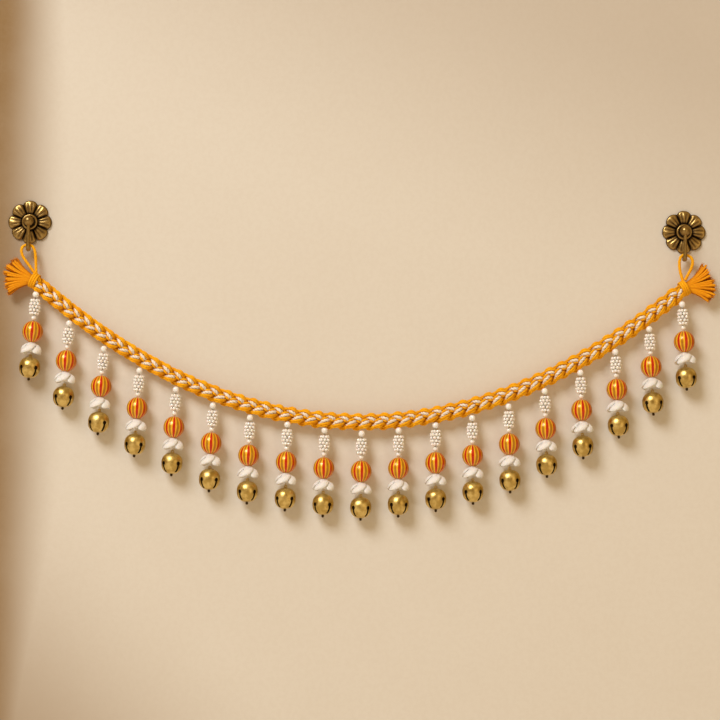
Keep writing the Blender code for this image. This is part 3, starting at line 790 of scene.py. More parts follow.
def make_pearl_tree():
    tree, start, end = new_maker("pearl column", {
        "Rings": "Int", "Pearls in Ring": "Int", "First Drop": "Float", "Ring Step": "Float",
        "Column Radius": "Float", "Pinch": "Float", "Pearl Radius": "Float", "Seed": "Int", "Material": "Material"})
    feed = start.outputs
    total = math_of(tree, "MULTIPLY", feed["Rings"], feed["Pearls in Ring"])
    number = add(tree, "GeometryNodeInputIndex").outputs[0]
    ring = math_of(tree, "FLOOR", math_of(tree, "DIVIDE", math_of(tree, "ADD", number, 0.5), feed["Pearls in Ring"]))
    step = math_of(tree, "DIVIDE", math_of(tree, "ADD", number, math_of(tree, "MULTIPLY", ring, 0.5)),
                   feed["Pearls in Ring"])
    jitter = add(tree, "FunctionNodeRandomValue", {2: -0.06, 3: 0.06, "Seed": feed["Seed"]}, data_type="FLOAT")
    angle = math_of(tree, "ADD", math_of(tree, "MULTIPLY", step, math.tau), jitter.outputs[1])
    drop = math_of(tree, "ADD", feed["First Drop"], math_of(tree, "MULTIPLY", ring, feed["Ring Step"]))
    half = math_of(tree, "DIVIDE", math_of(tree, "SUBTRACT", feed["Rings"], 1.0), 2.0)
    from_middle = math_of(tree, "DIVIDE", math_of(tree, "SUBTRACT", ring, half), half)
    pinched = math_of(tree, "MULTIPLY", math_of(tree, "POWER", math_of(tree, "ABSOLUTE", from_middle), 2.0),
                      feed["Pinch"])
    radius = math_of(tree, "MULTIPLY", feed["Column Radius"], math_of(tree, "SUBTRACT", 1.0, pinched))
    place = add(tree, "ShaderNodeCombineXYZ", {
        0: math_of(tree, "MULTIPLY", math_of(tree, "COSINE", angle), radius),
        1: math_of(tree, "MULTIPLY", math_of(tree, "SINE", angle), radius),
        2: math_of(tree, "MULTIPLY", drop, -1.0)}).outputs[0]
    points = add(tree, "GeometryNodePoints", {"Count": total, "Position": place}).outputs[0]
    shade = add(tree, "FunctionNodeRandomValue", {"Seed": feed["Seed"]}, data_type="FLOAT")
    points = add(tree, "GeometryNodeStoreNamedAttribute",
                 {"Geometry": points, "Name": "tone", "Value": shade.outputs[1]}).outputs[0]
    pearl = add(tree, "GeometryNodeMeshUVSphere",
                {"Segments": 8, "Rings": 6, "Radius": feed["Pearl Radius"]}).outputs[0]
    swell = add(tree, "FunctionNodeRandomValue", {2: 0.94, 3: 1.05, "Seed": feed["Seed"]}, data_type="FLOAT")
    beads = add(tree, "GeometryNodeInstanceOnPoints",
                {"Points": points, "Instance": pearl, "Scale": swell.outputs[1]}).outputs[0]
    close_maker(tree, end, beads, feed["Material"])
    return tree


PEARL_TREE = make_pearl_tree()


def ball_profile(middle, half_height, radius, rows, power=2.0):
    """Rows of a round profile, from its top to its bottom."""
    rows_at = np.linspace(math.pi, 0, rows + 2)[1:-1]
    return [(middle + half_height * math.cos(a), radius * math.sin(a) ** (2 / power)) for a in rows_at]


top_pearl = turned("top_pearl", ball_profile(TOP_PEARL_DROP, TOP_PEARL, TOP_PEARL, 12), 20,
                   TOP_PEARL_DROP - TOP_PEARL, TOP_PEARL_DROP + TOP_PEARL)
lower_pearl = turned("lower_pearl", ball_profile(LOWER_PEARL_DROP, 0.00365, 0.00365, 8), 16,
                     LOWER_PEARL_DROP - 0.00365, LOWER_PEARL_DROP + 0.00365)


def make_pearls(number):
    name = "pearls_%02d" % number
    column = grow(new_object(name, bpy.data.meshes.new(name)), PEARL_TREE, {
        "Rings": 5, "Pearls in Ring": 7, "First Drop": FIRST_RING_DROP, "Ring Step": RING_STEP,
        "Column Radius": COLUMN_RADIUS, "Pinch": COLUMN_PINCH, "Pearl Radius": SMALL_PEARL, "Seed": number, "Material": PEARL})
    spin_angle = Matrix.Rotation(random.Random(number).uniform(-0.2, 0.2), 4, "Z")
    parts = [(column.data, 0, places[number] @ spin_angle), (top_pearl, 0, places[number]),
             (lower_pearl, 0, places[number])]
    column.data = joined(name, parts, [PEARL])
    return settle(column, "bead", "string_%02d" % number)


pearls = [make_pearls(number) for number in places]
print(len(pearls), "pearl columns of", len(pearls[0].data.polygons), "faces")

# %% [markdown]
# ## Striped balls
# Each ball is a 29 mm bead, a little taller than wide, with painted stripes from pole to pole: red ones with
# a fine yellow line at each side, and gold between them with a thin darker line. The stripes follow
# the ball, so they are drawn on its UV map, where u goes once round. A clear coat gives the gloss.

# %% Ball finish
BALL_REPEATS = 8


def striped_surface(tree):
    wrap = add(tree, "ShaderNodeUVMap", uv_map="wrap").outputs[0]
    place = add(tree, "ShaderNodeTexCoord").outputs["Object"]
    flat = add(tree, "ShaderNodeSeparateXYZ", {0: wrap})
    waver = math_of(tree, "MULTIPLY", math_of(tree, "SUBTRACT", noise(tree, place, 90.0, 2.0), 0.5), 0.10)
    turns = math_of(tree, "ADD", math_of(tree, "MULTIPLY", flat.outputs[0], float(BALL_REPEATS)), waver)
    part = math_of(tree, "FRACT", math_of(tree, "ADD", turns, 0.5))
    ramp = add(tree, "ShaderNodeValToRGB", {0: part})
    stops = ((0.00, (0.50, 0.12, 0.005)), (0.025, (0.55, 0.17, 0.006)), (0.04, (0.20, 0.12, 0.004)),
             (0.09, (0.50, 0.30, 0.008)), (0.17, (0.86, 0.47, 0.012)), (0.29, (1.0, 0.58, 0.03)),
             (0.325, (1.0, 0.52, 0.03)), (0.34, (0.56, 0.006, 0.001)), (0.66, (0.56, 0.006, 0.001)),
             (0.675, (1.0, 0.50, 0.03)), (0.73, (0.95, 0.50, 0.02)), (0.83, (0.78, 0.42, 0.01)),
             (0.91, (0.26, 0.15, 0.005)), (0.95, (0.55, 0.17, 0.005)))
    while len(ramp.color_ramp.elements) < len(stops):
        ramp.color_ramp.elements.new(0.5)
    for element, (position, colour) in zip(ramp.color_ramp.elements, stops):
        element.position = position
        element.color = rgb(*colour)
    streaks = noise(tree, scaled(tree, wrap, (90.0, 3.0, 1.0)), 2.0, 3.0)
    colour = mixed(tree, ranged(tree, streaks, 0.42, 0.72, 0.0, 0.22), ramp.outputs[0], rgb(0.95, 0.36, 0.01))
    side = ranged(tree, math_of(tree, "SINE", math_of(tree, "MULTIPLY", flat.outputs[0], math.tau)), 0.35, 0.95)
    colour = mixed(tree, math_of(tree, "MULTIPLY", side, 0.6), colour, rgb(0.58, 0.11, 0.003))
    pole = math_of(tree, "ABSOLUTE", math_of(tree, "SUBTRACT", flat.outputs[1], 0.5))
    colour = mixed(tree, ranged(tree, pole, 0.36, 0.5, 0.0, 0.75), colour, rgb(0.62, 0.26, 0.015))
    bump = add(tree, "ShaderNodeBump", {"Strength": 0.3, "Distance": 0.0002, "Height": streaks})
    return add(tree, "ShaderNodeBsdfPrincipled", {
        "Base Color": colour, "Roughness": 0.34, "Normal": bump.outputs[0], "Metallic": 0.2,
        "Coat Weight": 0.45, "Coat Roughness": 0.12, "Specular IOR Level": 0.25})


STRIPED = new_material("striped_gloss_ball", striped_surface)

# %% Striped balls
BALL_DROP = 0.0535
BALL_RADIUS = 0.0145
BALL_HALF_HEIGHT = 0.0152
BALL_RED_TURN = math.radians(-90 + 2)
ball = turned("ball", ball_profile(BALL_DROP, BALL_HALF_HEIGHT, BALL_RADIUS, 25), 48,
              BALL_DROP - BALL_HALF_HEIGHT, BALL_DROP + BALL_HALF_HEIGHT)


def make_ball(number):
    rng = random.Random(100 + number)
    turn_by = Matrix.Rotation(BALL_RED_TURN + math.radians(rng.uniform(-3, 3)), 4, "Z")
    mesh = joined("ball_%02d" % number, [(ball, 0, places[number] @ turn_by)], [STRIPED])
    return settle(new_object("ball_%02d" % number, mesh), "bead", "string_%02d" % number)


balls = [make_ball(number) for number in places]
print(len(balls), "balls of", len(balls[0].data.polygons), "faces")

# %% [markdown]
# ## Petal caps
# Between ball and bell sits a white cap of four puffy, ribbed petals that wind round it like a bud. Each
# petal is lofted along a line that goes down and round the cap. Its cross-section is a flat lens that hugs
# the cap, and one long edge is lifted so that it lies over its neighbour.

# %% Cap finish
def cap_surface(tree):
    wrap = add(tree, "ShaderNodeUVMap", uv_map="wrap").outputs[0]
    place = add(tree, "ShaderNodeTexCoord").outputs["Object"]
    grain = noise(tree, place, 900.0, 3.0)
    flat = add(tree, "ShaderNodeSeparateXYZ", {0: wrap})
    ribs = math_of(tree, "SINE", math_of(tree, "MULTIPLY", flat.outputs[1], 95.0))
    weave = math_of(tree, "SINE", math_of(tree, "MULTIPLY", flat.outputs[0], 130.0))
    pattern = math_of(tree, "ADD", ribs, weave)
    colour = mixed(tree, ranged(tree, pattern, -1.6, 1.0), rgb(0.80, 0.79, 0.78), rgb(0.92, 0.96, 0.99))
    colour = mixed(tree, ranged(tree, grain, 0.35, 0.65, 0.0, 0.3), colour, rgb(0.88, 0.88, 0.88))
    height = math_of(tree, "ADD", pattern, grain)
    bump = add(tree, "ShaderNodeBump", {"Strength": 0.5, "Distance": 0.00025, "Height": height})
    return add(tree, "ShaderNodeBsdfPrincipled", {
        "Base Color": colour, "Roughness": 0.55, "Normal": bump.outputs[0], "Sheen Weight": 0.2,
        "Subsurface Weight": 0.15, "Subsurface Radius": (1.0, 0.8, 0.6), "Subsurface Scale": 0.002})


CAP_WHITE = new_material("matt_white_petal", cap_surface)

# %% Petal caps
CAP_OUTLINE = ((0.0672, 0.0015), (0.0690, 0.0045), (0.0715, 0.0075), (0.0750, 0.0103), (0.0790, 0.0126),
               (0.0830, 0.0138), (0.0850, 0.0138))
CAP_PETALS = 4
PETAL_ROOT_DROP = 0.0700
PETAL_TIP_DROP = 0.0830
PETAL_SWEEP = math.radians(112)
FIRST_TIP = math.radians(-158)
PETAL_HALF_WIDTH = 0.0062
PETAL_HALF_THICKNESS = 0.0025
PETAL_LIFT = -0.20


def on_cap(angle, drop):
    """A point of the cap's surface, and the way straight out of it."""
    drops, radii = zip(*CAP_OUTLINE)
    radius = float(np.interp(drop, drops, radii))
    slope = float(np.interp(drop + 0.0008, drops, radii) - np.interp(drop - 0.0008, drops, radii)) / 0.0016
    out = np.array([math.cos(angle), math.sin(angle), slope])
    return np.array([radius * math.cos(angle), radius * math.sin(angle), -drop]), out / np.linalg.norm(out)


def petal_mesh(tip_angle):
    """One lens-shaped petal that winds down the cap and ends at tip_angle."""
    parts = np.linspace(0.0, 1.0, 22)
    line = [on_cap(tip_angle + PETAL_SWEEP * (1 - t), PETAL_ROOT_DROP + (PETAL_TIP_DROP - PETAL_ROOT_DROP) * t)
            for t in parts]
    middles = np.array([point for point, _ in line])
    ways = np.gradient(middles, axis=0)
    rings = []
    for t, middle, way, (_, out) in zip(parts[1:-1], middles[1:-1], ways[1:-1], line[1:-1]):
        way = way / np.linalg.norm(way)
        wide = np.cross(way, out)
        wide /= np.linalg.norm(wide)
        swell = math.sin(math.pi * t ** 1.05) ** 0.5
        ring = []
        for a in np.linspace(0, math.tau, 26, endpoint=False):
            reach = PETAL_HALF_WIDTH * swell * math.cos(a)
            rib = 1 + 0.13 * math.cos(9 * math.pi * math.cos(a))
            lift = PETAL_HALF_THICKNESS * swell * math.sin(a) * rib - reach ** 2 / 0.024 + PETAL_LIFT * reach
            ring.append(middle + wide * reach + out * lift)
        rings.append(ring)
    return outward_normals(loft("petal", rings, middles[0], middles[-1]))


cap_core = turned("cap_core", ((0.0680, 0.0035), (0.0705, 0.0068), (0.0745, 0.0092), (0.0790, 0.0100),
                               (0.0815, 0.0085)), 20, 0.0672, 0.0822)
petals = [petal_mesh(FIRST_TIP + math.tau * i / CAP_PETALS) for i in range(CAP_PETALS)]


def make_cap(number):
    rng = random.Random(200 + number)
    turn_by = Matrix.Rotation(math.radians(rng.uniform(-7, 7)), 4, "Z")
    parts = [(mesh, 0, places[number] @ turn_by) for mesh in (*petals, cap_core)]
    mesh = joined("petal_cap_%02d" % number, parts, [CAP_WHITE])
    return settle(new_object("petal_cap_%02d" % number, mesh), "bead", "string_%02d" % number)


caps = [make_cap(number) for number in places]
print(len(caps), "caps of", len(caps[0].data.polygons), "faces")

# %% [markdown]
# ## Jingle bells
# A jingle bell is a hollow ball of cast brass. Four slits run up its lower half, each ending in a round
# hole. The wall is a turned shell, outside and inside in one profile, and the slits are cut with a Boolean,
# once, because all nineteen bells are copies. The inside of the wall, the cut faces of the slits and the
# bottom nub are near-black: painted shade. Inside also hangs a near-black liner, a sheet of painted shade:
# the slits face one another, and without it the wall would shine through them, where the real bells show
# only their black inside.

# %% Bell finish
def brass_surface(tree):
    place = add(tree, "ShaderNodeTexCoord").outputs["Object"]
    cloud = noise(tree, place, 130.0, 4.0)
    scratch = noise(tree, scaled(tree, place, (1.0, 1.0, 6.0)), 700.0, 2.0)
    colour = mixed(tree, ranged(tree, cloud, 0.38, 0.66), rgb(0.54, 0.38, 0.11), rgb(0.80, 0.62, 0.23))
    colour = mixed(tree, ranged(tree, scratch, 0.58, 0.72, 0.0, 0.35), colour, rgb(0.36, 0.23, 0.05))
    gloss = ranged(tree, cloud, 0.35, 0.7, 0.30, 0.44)
    bump = add(tree, "ShaderNodeBump", {"Strength": 0.12, "Distance": 0.0002, "Height": cloud})
    return add(tree, "ShaderNodeBsdfPrincipled", {
        "Base Color": colour, "Metallic": 1.0, "Roughness": gloss, "Normal": bump.outputs[0]})


# Painted shade: a near-black metal for the bell's inner wall, the cut faces of its slits, its liner and its nub.
def painted_shade_surface(tree):
    place = add(tree, "ShaderNodeTexCoord").outputs["Object"]
    cloud = noise(tree, place, 500.0, 3.0)
    colour = mixed(tree, cloud, rgb(0.022, 0.012, 0.005), rgb(0.07, 0.04, 0.015))
    return add(tree, "ShaderNodeBsdfPrincipled", {"Base Color": colour, "Metallic": 0.7, "Roughness": 0.45})


BELL_BRASS = new_material("polished_bell_brass", brass_surface)
BELL_PAINTED_SHADE = new_material("bell_painted_shade", painted_shade_surface)

# %% Bell body
BELL_EQUATOR = 0.0184
BELL_RADIUS = 0.0145
BELL_HALF_HEIGHT = 0.0147
BELL_WALL = 0.0021
SLIT_WIDTH = 0.0029
SLIT_HOLE = 0.0029
SLIT_FOOT = 0.0308


def bell_radius(drop, radius, half_height):
    """The bell's radius at a distance below its top: a ball that is a little square."""
    share = min(1.0, abs((drop - BELL_EQUATOR) / half_height))
    return radius * (1 - share ** 2.4) ** (1 / 2.2)


def bell_shell():
    drops = BELL_EQUATOR - BELL_HALF_HEIGHT * np.cos(np.linspace(0, math.pi, 28)[1:-1])
    outer = [(drop, bell_radius(drop, BELL_RADIUS + (0.0002 if drop < BELL_EQUATOR else 0), BELL_HALF_HEIGHT))
             for drop in drops]
    inner_half = BELL_HALF_HEIGHT - BELL_WALL
    inner_drops = BELL_EQUATOR - inner_half * np.cos(np.linspace(0, math.pi, 20)[1:-1])
    inner = [(drop, bell_radius(drop, BELL_RADIUS - BELL_WALL, inner_half)) for drop in inner_drops]
    outside = turned("outside", outer, 56, BELL_EQUATOR - BELL_HALF_HEIGHT, BELL_EQUATOR + BELL_HALF_HEIGHT)
    inside = turned("inside", inner, 40, BELL_EQUATOR - inner_half, BELL_EQUATOR + inner_half)
    inside.flip_normals()
    same = Matrix.Identity(4)
    # The inner wall takes slot 1, the painted-shade material.
    return joined("bell_shell", [(outside, 0, same), (inside, 1, same)], [BELL_BRASS, BELL_PAINTED_SHADE])


def slit_cutters():
    """Four radial blades and round holes."""
    bm = bmesh.new()
    for quarter in range(4):
        way = Matrix.Rotation(math.radians(45 + 90 * quarter), 4, "Z")
        low, high = -SLIT_FOOT, -BELL_EQUATOR - 0.0005
        blade = way @ Matrix.Translation((0.0115, 0, (low + high) / 2)) @ Matrix.Diagonal(
            (0.0150, SLIT_WIDTH, high - low, 1))
        bmesh.ops.create_cube(bm, size=1, matrix=blade)
        hole = way @ Matrix.Translation((0.0125, 0, high)) @ Matrix.Rotation(math.radians(90), 4, "Y")
        bmesh.ops.create_cone(bm, cap_ends=True, segments=16, radius1=SLIT_HOLE, radius2=SLIT_HOLE, depth=0.010,
                              matrix=hole)
    # The cut faces of the slits take the painted-shade material.
    for face in bm.faces:
        face.material_index = 1
    mesh = bpy.data.meshes.new("slit_cutters")
    bm.to_mesh(mesh)
    bm.free()
    for material in (BELL_BRASS, BELL_PAINTED_SHADE):
        mesh.materials.append(material)
    return mesh


def cut_bell():
    shell = new_object("bell_master", bell_shell())
    blades = new_object("slit_cutters", slit_cutters())
    cut = shell.modifiers.new("slits", "BOOLEAN")
    cut.operation = "DIFFERENCE"
    cut.object = blades
    cut.solver = "EXACT"
    cut.use_self = True
    depsgraph = bpy.context.evaluated_depsgraph_get()
    mesh = bpy.data.meshes.new_from_object(shell.evaluated_get(depsgraph))
    bpy.data.objects.remove(shell)
    bpy.data.objects.remove(blades)
    mesh.shade_smooth()
    mesh.set_sharp_from_angle(angle=math.radians(35))
    return mesh


bell_body = cut_bell()
print("bell shell", len(bell_body.polygons), "faces")

# %% Bell fittings
EYELET_RING = 0.00165
EYELET_WIRE = 0.00070
# A near-black liner just inside the wall: painted shade seen through the slits.
SHADE_LINER_RADIUS = BELL_RADIUS - BELL_WALL - 0.0002
SHADE_LINER_HALF_HEIGHT = BELL_HALF_HEIGHT - BELL_WALL - 0.0002
SHADE_LINER_DROPS = BELL_EQUATOR - SHADE_LINER_HALF_HEIGHT * np.cos(np.linspace(0, math.pi, 16)[1:-1])


def eyelet_mesh():
    """A standing ring of wire on the bell's top, seen face on."""
    rings = []
    for around in np.linspace(0, math.tau, 24, endpoint=False):
        middle = np.array([math.cos(around), 0, math.sin(around)])
        rings.append([middle * (EYELET_RING + EYELET_WIRE * math.cos(a)) + np.array([0, EYELET_WIRE * math.sin(a), 0])
                      for a in np.linspace(0, math.tau, 10, endpoint=False)])
    count, sides = 24, 10
    faces = [(r * sides + i, r * sides + (i + 1) % sides, (r + 1) % count * sides + (i + 1) % sides,
              (r + 1) % count * sides + i) for r in range(count) for i in range(sides)]
    mesh = bpy.data.meshes.new("eyelet")
    mesh.from_pydata([tuple(point) for ring in rings for point in ring], [], faces)
    mesh.shade_smooth()
    return outward_normals(mesh)


eyelet = eyelet_mesh()
collar = turned("bell_collar", ((0.0034, 0.0020), (0.0036, 0.0031), (0.0041, 0.0036), (0.0047, 0.0036)), 24,
                0.0033, 0.0050)
nub = turned("bell_nub", ((0.0327, 0.0012), (0.0334, 0.0018), (0.0348, 0.0019), (0.0361, 0.0015)), 16,
             0.0324, 0.0368)
painted_shade_liner = turned("painted_shade_liner", [(drop, bell_radius(drop, SHADE_LINER_RADIUS, SHADE_LINER_HALF_HEIGHT)) for drop in SHADE_LINER_DROPS], 28,
               BELL_EQUATOR - SHADE_LINER_HALF_HEIGHT, BELL_EQUATOR + SHADE_LINER_HALF_HEIGHT)
eyelet_place = Matrix.Translation((0, 0, -0.0019))
# The nub and the liner take slot 1, the painted-shade material.
bell_parts = ((bell_body, None, Matrix.Identity(4)), (collar, 0, Matrix.Identity(4)), (eyelet, 0, eyelet_place),
              (nub, 1, Matrix.Identity(4)), (painted_shade_liner, 1, Matrix.Identity(4)))


def make_bell(number):
    rng = random.Random(300 + number)
    turn_by = Matrix.Rotation(math.radians(rng.uniform(-5, 5)), 4, "Z")
    hang = places[number] @ Matrix.Translation((0, 0, -BELL_DROP)) @ turn_by
    mesh = joined("jingle_bell_%02d" % number, [(part, slot, hang @ place) for part, slot, place in bell_parts],
                  [BELL_BRASS, BELL_PAINTED_SHADE])
    return settle(new_object("jingle_bell_%02d" % number, mesh), "bell", "bell_%02d" % number)


bells = [make_bell(number) for number in places]
print(len(bells), "bells of", len(bells[0].data.polygons), "faces")

# %% [markdown]
# ## Threads
# One thread runs from the plait through all the beads to the bell's eyelet, and a finer one nets the pearls
# of the column together. They hardly show, but without them the beads would float.

# %% Threads
THREAD_RADIUS = 0.00040
NET_RADIUS = 0.00022


def make_threads():
    main, net = [], []
    for number, place in places.items():
        drops = np.linspace(-0.0130, BELL_DROP + 0.0022, 14)
        main.append(np.array([place @ Vector((0, 0, -drop)) for drop in drops]))
        for hand in (-1, 1):
            for pearl in range(7):
                line = [Vector((0, 0, -0.0055))]
                for ring in range(5):
                    angle = math.tau * (pearl + hand * ring / 2) / 7
                    radius = COLUMN_RADIUS * (1 - COLUMN_PINCH * ((ring - 2) / 2) ** 2)
                    line.append(Vector((radius * math.cos(angle), radius * math.sin(angle),
                                        -FIRST_RING_DROP - RING_STEP * ring)))
                line.append(Vector((0, 0, -0.0303)))
                net.append(np.array([place @ point for point in line]))
    threads = spin("pendant_threads", main, THREAD_RADIUS, YELLOW_YARN, plies=2, ply_depth=0.2, twist=0.003, sides=6)
    netting = spin("pearl_netting", net, NET_RADIUS, WHITE_YARN, plies=1, ply_depth=0.0, twist=0.01, sides=4)
    return settle(threads, "yarn"), settle(netting, "yarn")


threads = make_threads()

# %% [markdown]
# ## Flower plates
# Each hook stands on a cast flower with eight petals. Three soft ridges run down every petal, the petals
# part in deep valleys, and a ringed collar stands in the middle. All of it is one height field round the
# centre, so the plate is a grid of rings and spokes. Old brass is dark where polish never reaches, so the
# grid also stores how open each point is, and the finish reads that.

# %% Aged brass finish
def aged_brass_surface(with_relief):
    def surface(tree):
        place = add(tree, "ShaderNodeTexCoord").outputs["Object"]
        cloud = noise(tree, place, 160.0, 4.0)
        grain = noise(tree, place, 1500.0, 2.0)
        if with_relief:
            relief = add(tree, "ShaderNodeAttribute", attribute_name="relief").outputs["Fac"]
            shine = math_of(tree, "ADD", relief, math_of(tree, "MULTIPLY", math_of(tree, "SUBTRACT", cloud, 0.5), 0.5))
        else:
            shine = math_of(tree, "ADD", math_of(tree, "MULTIPLY", cloud, 0.4), 0.52)
        colour = mixed(tree, ranged(tree, shine, 0.18, 0.52), rgb(0.022, 0.012, 0.005), rgb(0.20, 0.122, 0.038))
        colour = mixed(tree, ranged(tree, shine, 0.50, 0.90), colour, rgb(0.40, 0.27, 0.090))
        gloss = ranged(tree, shine, 0.2, 0.8, 0.55, 0.30)
        height = math_of(tree, "ADD", cloud, math_of(tree, "MULTIPLY", grain, 0.3))
        bump = add(tree, "ShaderNodeBump", {"Strength": 0.25, "Distance": 0.0003, "Height": height})
        return add(tree, "ShaderNodeBsdfPrincipled", {
            "Base Color": colour, "Metallic": 0.9, "Roughness": gloss, "Normal": bump.outputs[0]})
    return surface


PLATE_BRASS = new_material("aged_plate_brass", aged_brass_surface(True))
HOOK_BRASS = new_material("aged_hook_brass", aged_brass_surface(False))

# %% Flower plates
PETALS = 8
PETAL_TIP = 0.0302
PETAL_VALLEY = 0.0262
PLATE_SPOKES = 192
PLATE_BACK = 0.0004
COLLAR_ROWS = ((0.0015, 0.0056, 0.45), (0.0046, 0.0056, 0.35), (0.0066, 0.0052, 0.10), (0.0073, 0.0050, 0.05),
               (0.0078, 0.0060, 0.55), (0.0088, 0.0069, 0.95), (0.0098, 0.0069, 1.0), (0.0106, 0.0060, 0.75),
               (0.0111, 0.0044, 0.25), (0.0115, 0.0033, 0.0))


def petal_height(t, part):
    """Height over the wall and openness, for t from -1 to 1 across a petal and part from 0 to 1 outwards."""
    across = 1 - abs(t) ** 3.2
    crown = 0.62 + 0.38 * math.sin(math.pi * min(1.0, part * 0.85 + 0.15))
    end = math.sqrt(max(0.0, 1 - part ** 7))
    fade = math.sin(math.pi * min(1.0, 0.12 + part * 0.92)) ** 0.8 * (1 if part < 0.9 else max(0.0, (1 - part) / 0.1))
    ridge = 0.5 + 0.5 * math.cos(3 * math.pi * t)
    height = 0.0009 + 0.0040 * across * crown * end - 0.0011 * fade * (1 - ridge) * across
    rim = math.exp(-((part - 0.90) / 0.07) ** 2) * across
    open_share = across ** 0.7 * (0.30 + 0.70 * (1 - fade * (1 - ridge))) * min(1.0, part * 4 + 0.1) + 0.35 * rim
    return height + 0.0003 * rim, min(1.0, open_share) * (0.35 + 0.65 * end)


def plate_rings():
    """Rings of (x, height, z) and the openness of every point, from the middle outwards."""
    angles = np.linspace(0, math.tau, PLATE_SPOKES, endpoint=False)
    rings, openness = [], []
    for radius, height, open_share in COLLAR_ROWS:
        rings.append([(radius * math.cos(a), -height, radius * math.sin(a)) for a in angles])
        openness.append([open_share] * PLATE_SPOKES)
    for part in np.linspace(0.0, 1.0, 24):
        ring, shares = [], []
        for a in angles:
            t = 2 * ((a + math.pi / 2) * PETALS / math.tau + 0.5 - math.floor((a + math.pi / 2) * PETALS / math.tau + 0.5)) - 1
            reach = PETAL_VALLEY + (PETAL_TIP - PETAL_VALLEY) * (1 - abs(t) ** 2.4)
            radius = 0.0119 + (reach - 0.0119) * part
            height, open_share = petal_height(t, part)
            ring.append((radius * math.cos(a), -height, radius * math.sin(a)))
            shares.append(open_share)
        rings.append(ring)
        openness.append(shares)
    edge = [(x * 1.004, -PLATE_BACK, z * 1.004) for x, _, z in rings[-1]]
    rings.append(edge)
    openness.append([0.1] * PLATE_SPOKES)
    return rings, openness


def make_plate(name, node, side):
    rings, openness = plate_rings()
    mesh = loft(name, rings, (0, -0.0056, 0), (0, -PLATE_BACK, 0))
    outward_normals(mesh)
    mesh.attributes.new("relief", "FLOAT", "POINT").data.foreach_set(
        "value", np.array([*np.ravel(openness), 0.4, 0.1]))
    mesh.materials.append(PLATE_BRASS)
    mesh.transform(Matrix.Translation((side * HOOK_X, 0, 0)))
    mesh.set_sharp_from_angle(angle=math.radians(60))
    print(name, len(mesh.polygons), "faces")
    return settle(new_object(name, mesh), "hook", node)


plates = [make_plate("flower_plate_left", "rosette_left", -1), make_plate("flower_plate_right", "rosette_right", 1)]

# %% [markdown]
# ## Hooks
# A post with a round boss stands on the plate's middle. From the boss a rod runs straight down in front of
# the plate, bends back under it and turns up behind the cord. The boss is turned, and the rod is swept with
# the yarn tree, with one ply, so that it is plain round metal with a rounded end.

# %% Hooks
STEM_Y = -0.0185
BEND_RADIUS = 0.0055
BEND_SAG = 0.0009
BEND_SWELL = 0.34
BEND_Z = -0.0330
TIP_Z = -0.0312
ROD_RADIUS = 0.0025
BOSS_ROWS = ((0.0068, 0.0030), (0.0070, 0.0046), (0.0084, 0.0043), (0.0100, 0.0040), (0.0112, 0.0045),
             (0.0122, 0.0053), (0.0134, 0.0061), (0.0147, 0.0067), (0.0162, 0.00705), (0.0176, 0.0071),
             (0.0191, 0.0068), (0.0206, 0.0061), (0.0219, 0.0050), (0.0229, 0.0038), (0.0237, 0.0021))


def make_hook(name, node, side):
    boss = turned(name, BOSS_ROWS, 36, 0.0066, 0.0241)
    boss.transform(Matrix.Rotation(math.radians(90), 4, "X") @ Matrix.Rotation(math.pi, 4, "X"))
    boss.transform(Matrix.Translation((side * HOOK_X, 0, 0)))
    straight = [(STEM_Y, z) for z in np.linspace(-0.003, BEND_Z, 12)]
    turns = np.linspace(0, math.pi, 17)[1:]
    bend = [(STEM_Y + BEND_RADIUS * (1 - math.cos(a)), BEND_Z - (BEND_RADIUS + BEND_SAG) * math.sin(a)) for a in turns]
    tip = [(STEM_Y + 2 * BEND_RADIUS, z) for z in np.linspace(BEND_Z, TIP_Z, 6)[1:]]
    path = np.array([(side * HOOK_X, y, z) for y, z in straight + bend + tip])
    size = np.ones(len(path))
    size[:12] = np.linspace(0.92, 1.0, 12)
    size[12:28] = 1 + BEND_SWELL * np.sin(turns)
    size[-4:] = (0.96, 0.84, 0.62, 0.22)
    rod = spin(name, [path], ROD_RADIUS, HOOK_BRASS, plies=1, ply_depth=0.0, twist=1.0, sides=20, sizes=[size])
    same = Matrix.Identity(4)
    rod.data = joined(name, [(rod.data, 0, same), (boss, 0, same)], [HOOK_BRASS])
    return settle(rod, "hook", node)


hooks = [make_hook("hook_rod_left", "hook_left", -1), make_hook("hook_rod_right", "hook_right", 1)]

# %% [markdown]
# ## Cords
# The two loops and the plait are cords of a known length, fixed at both ends.

# %% [markdown]
# ## Floor, backdrop and light
# The part is shown in front of a cream wall that is darkened towards its far left, its lower left
# corner and its upper right: painted shade. It hangs over a plain pale floor. The wall only receives the soft
# shadows: it is one-sided, so the hanging can be seen from behind. A large key light stands up on the left
# in front, as in the photograph, with a weak fill from the right and a warm, even world.

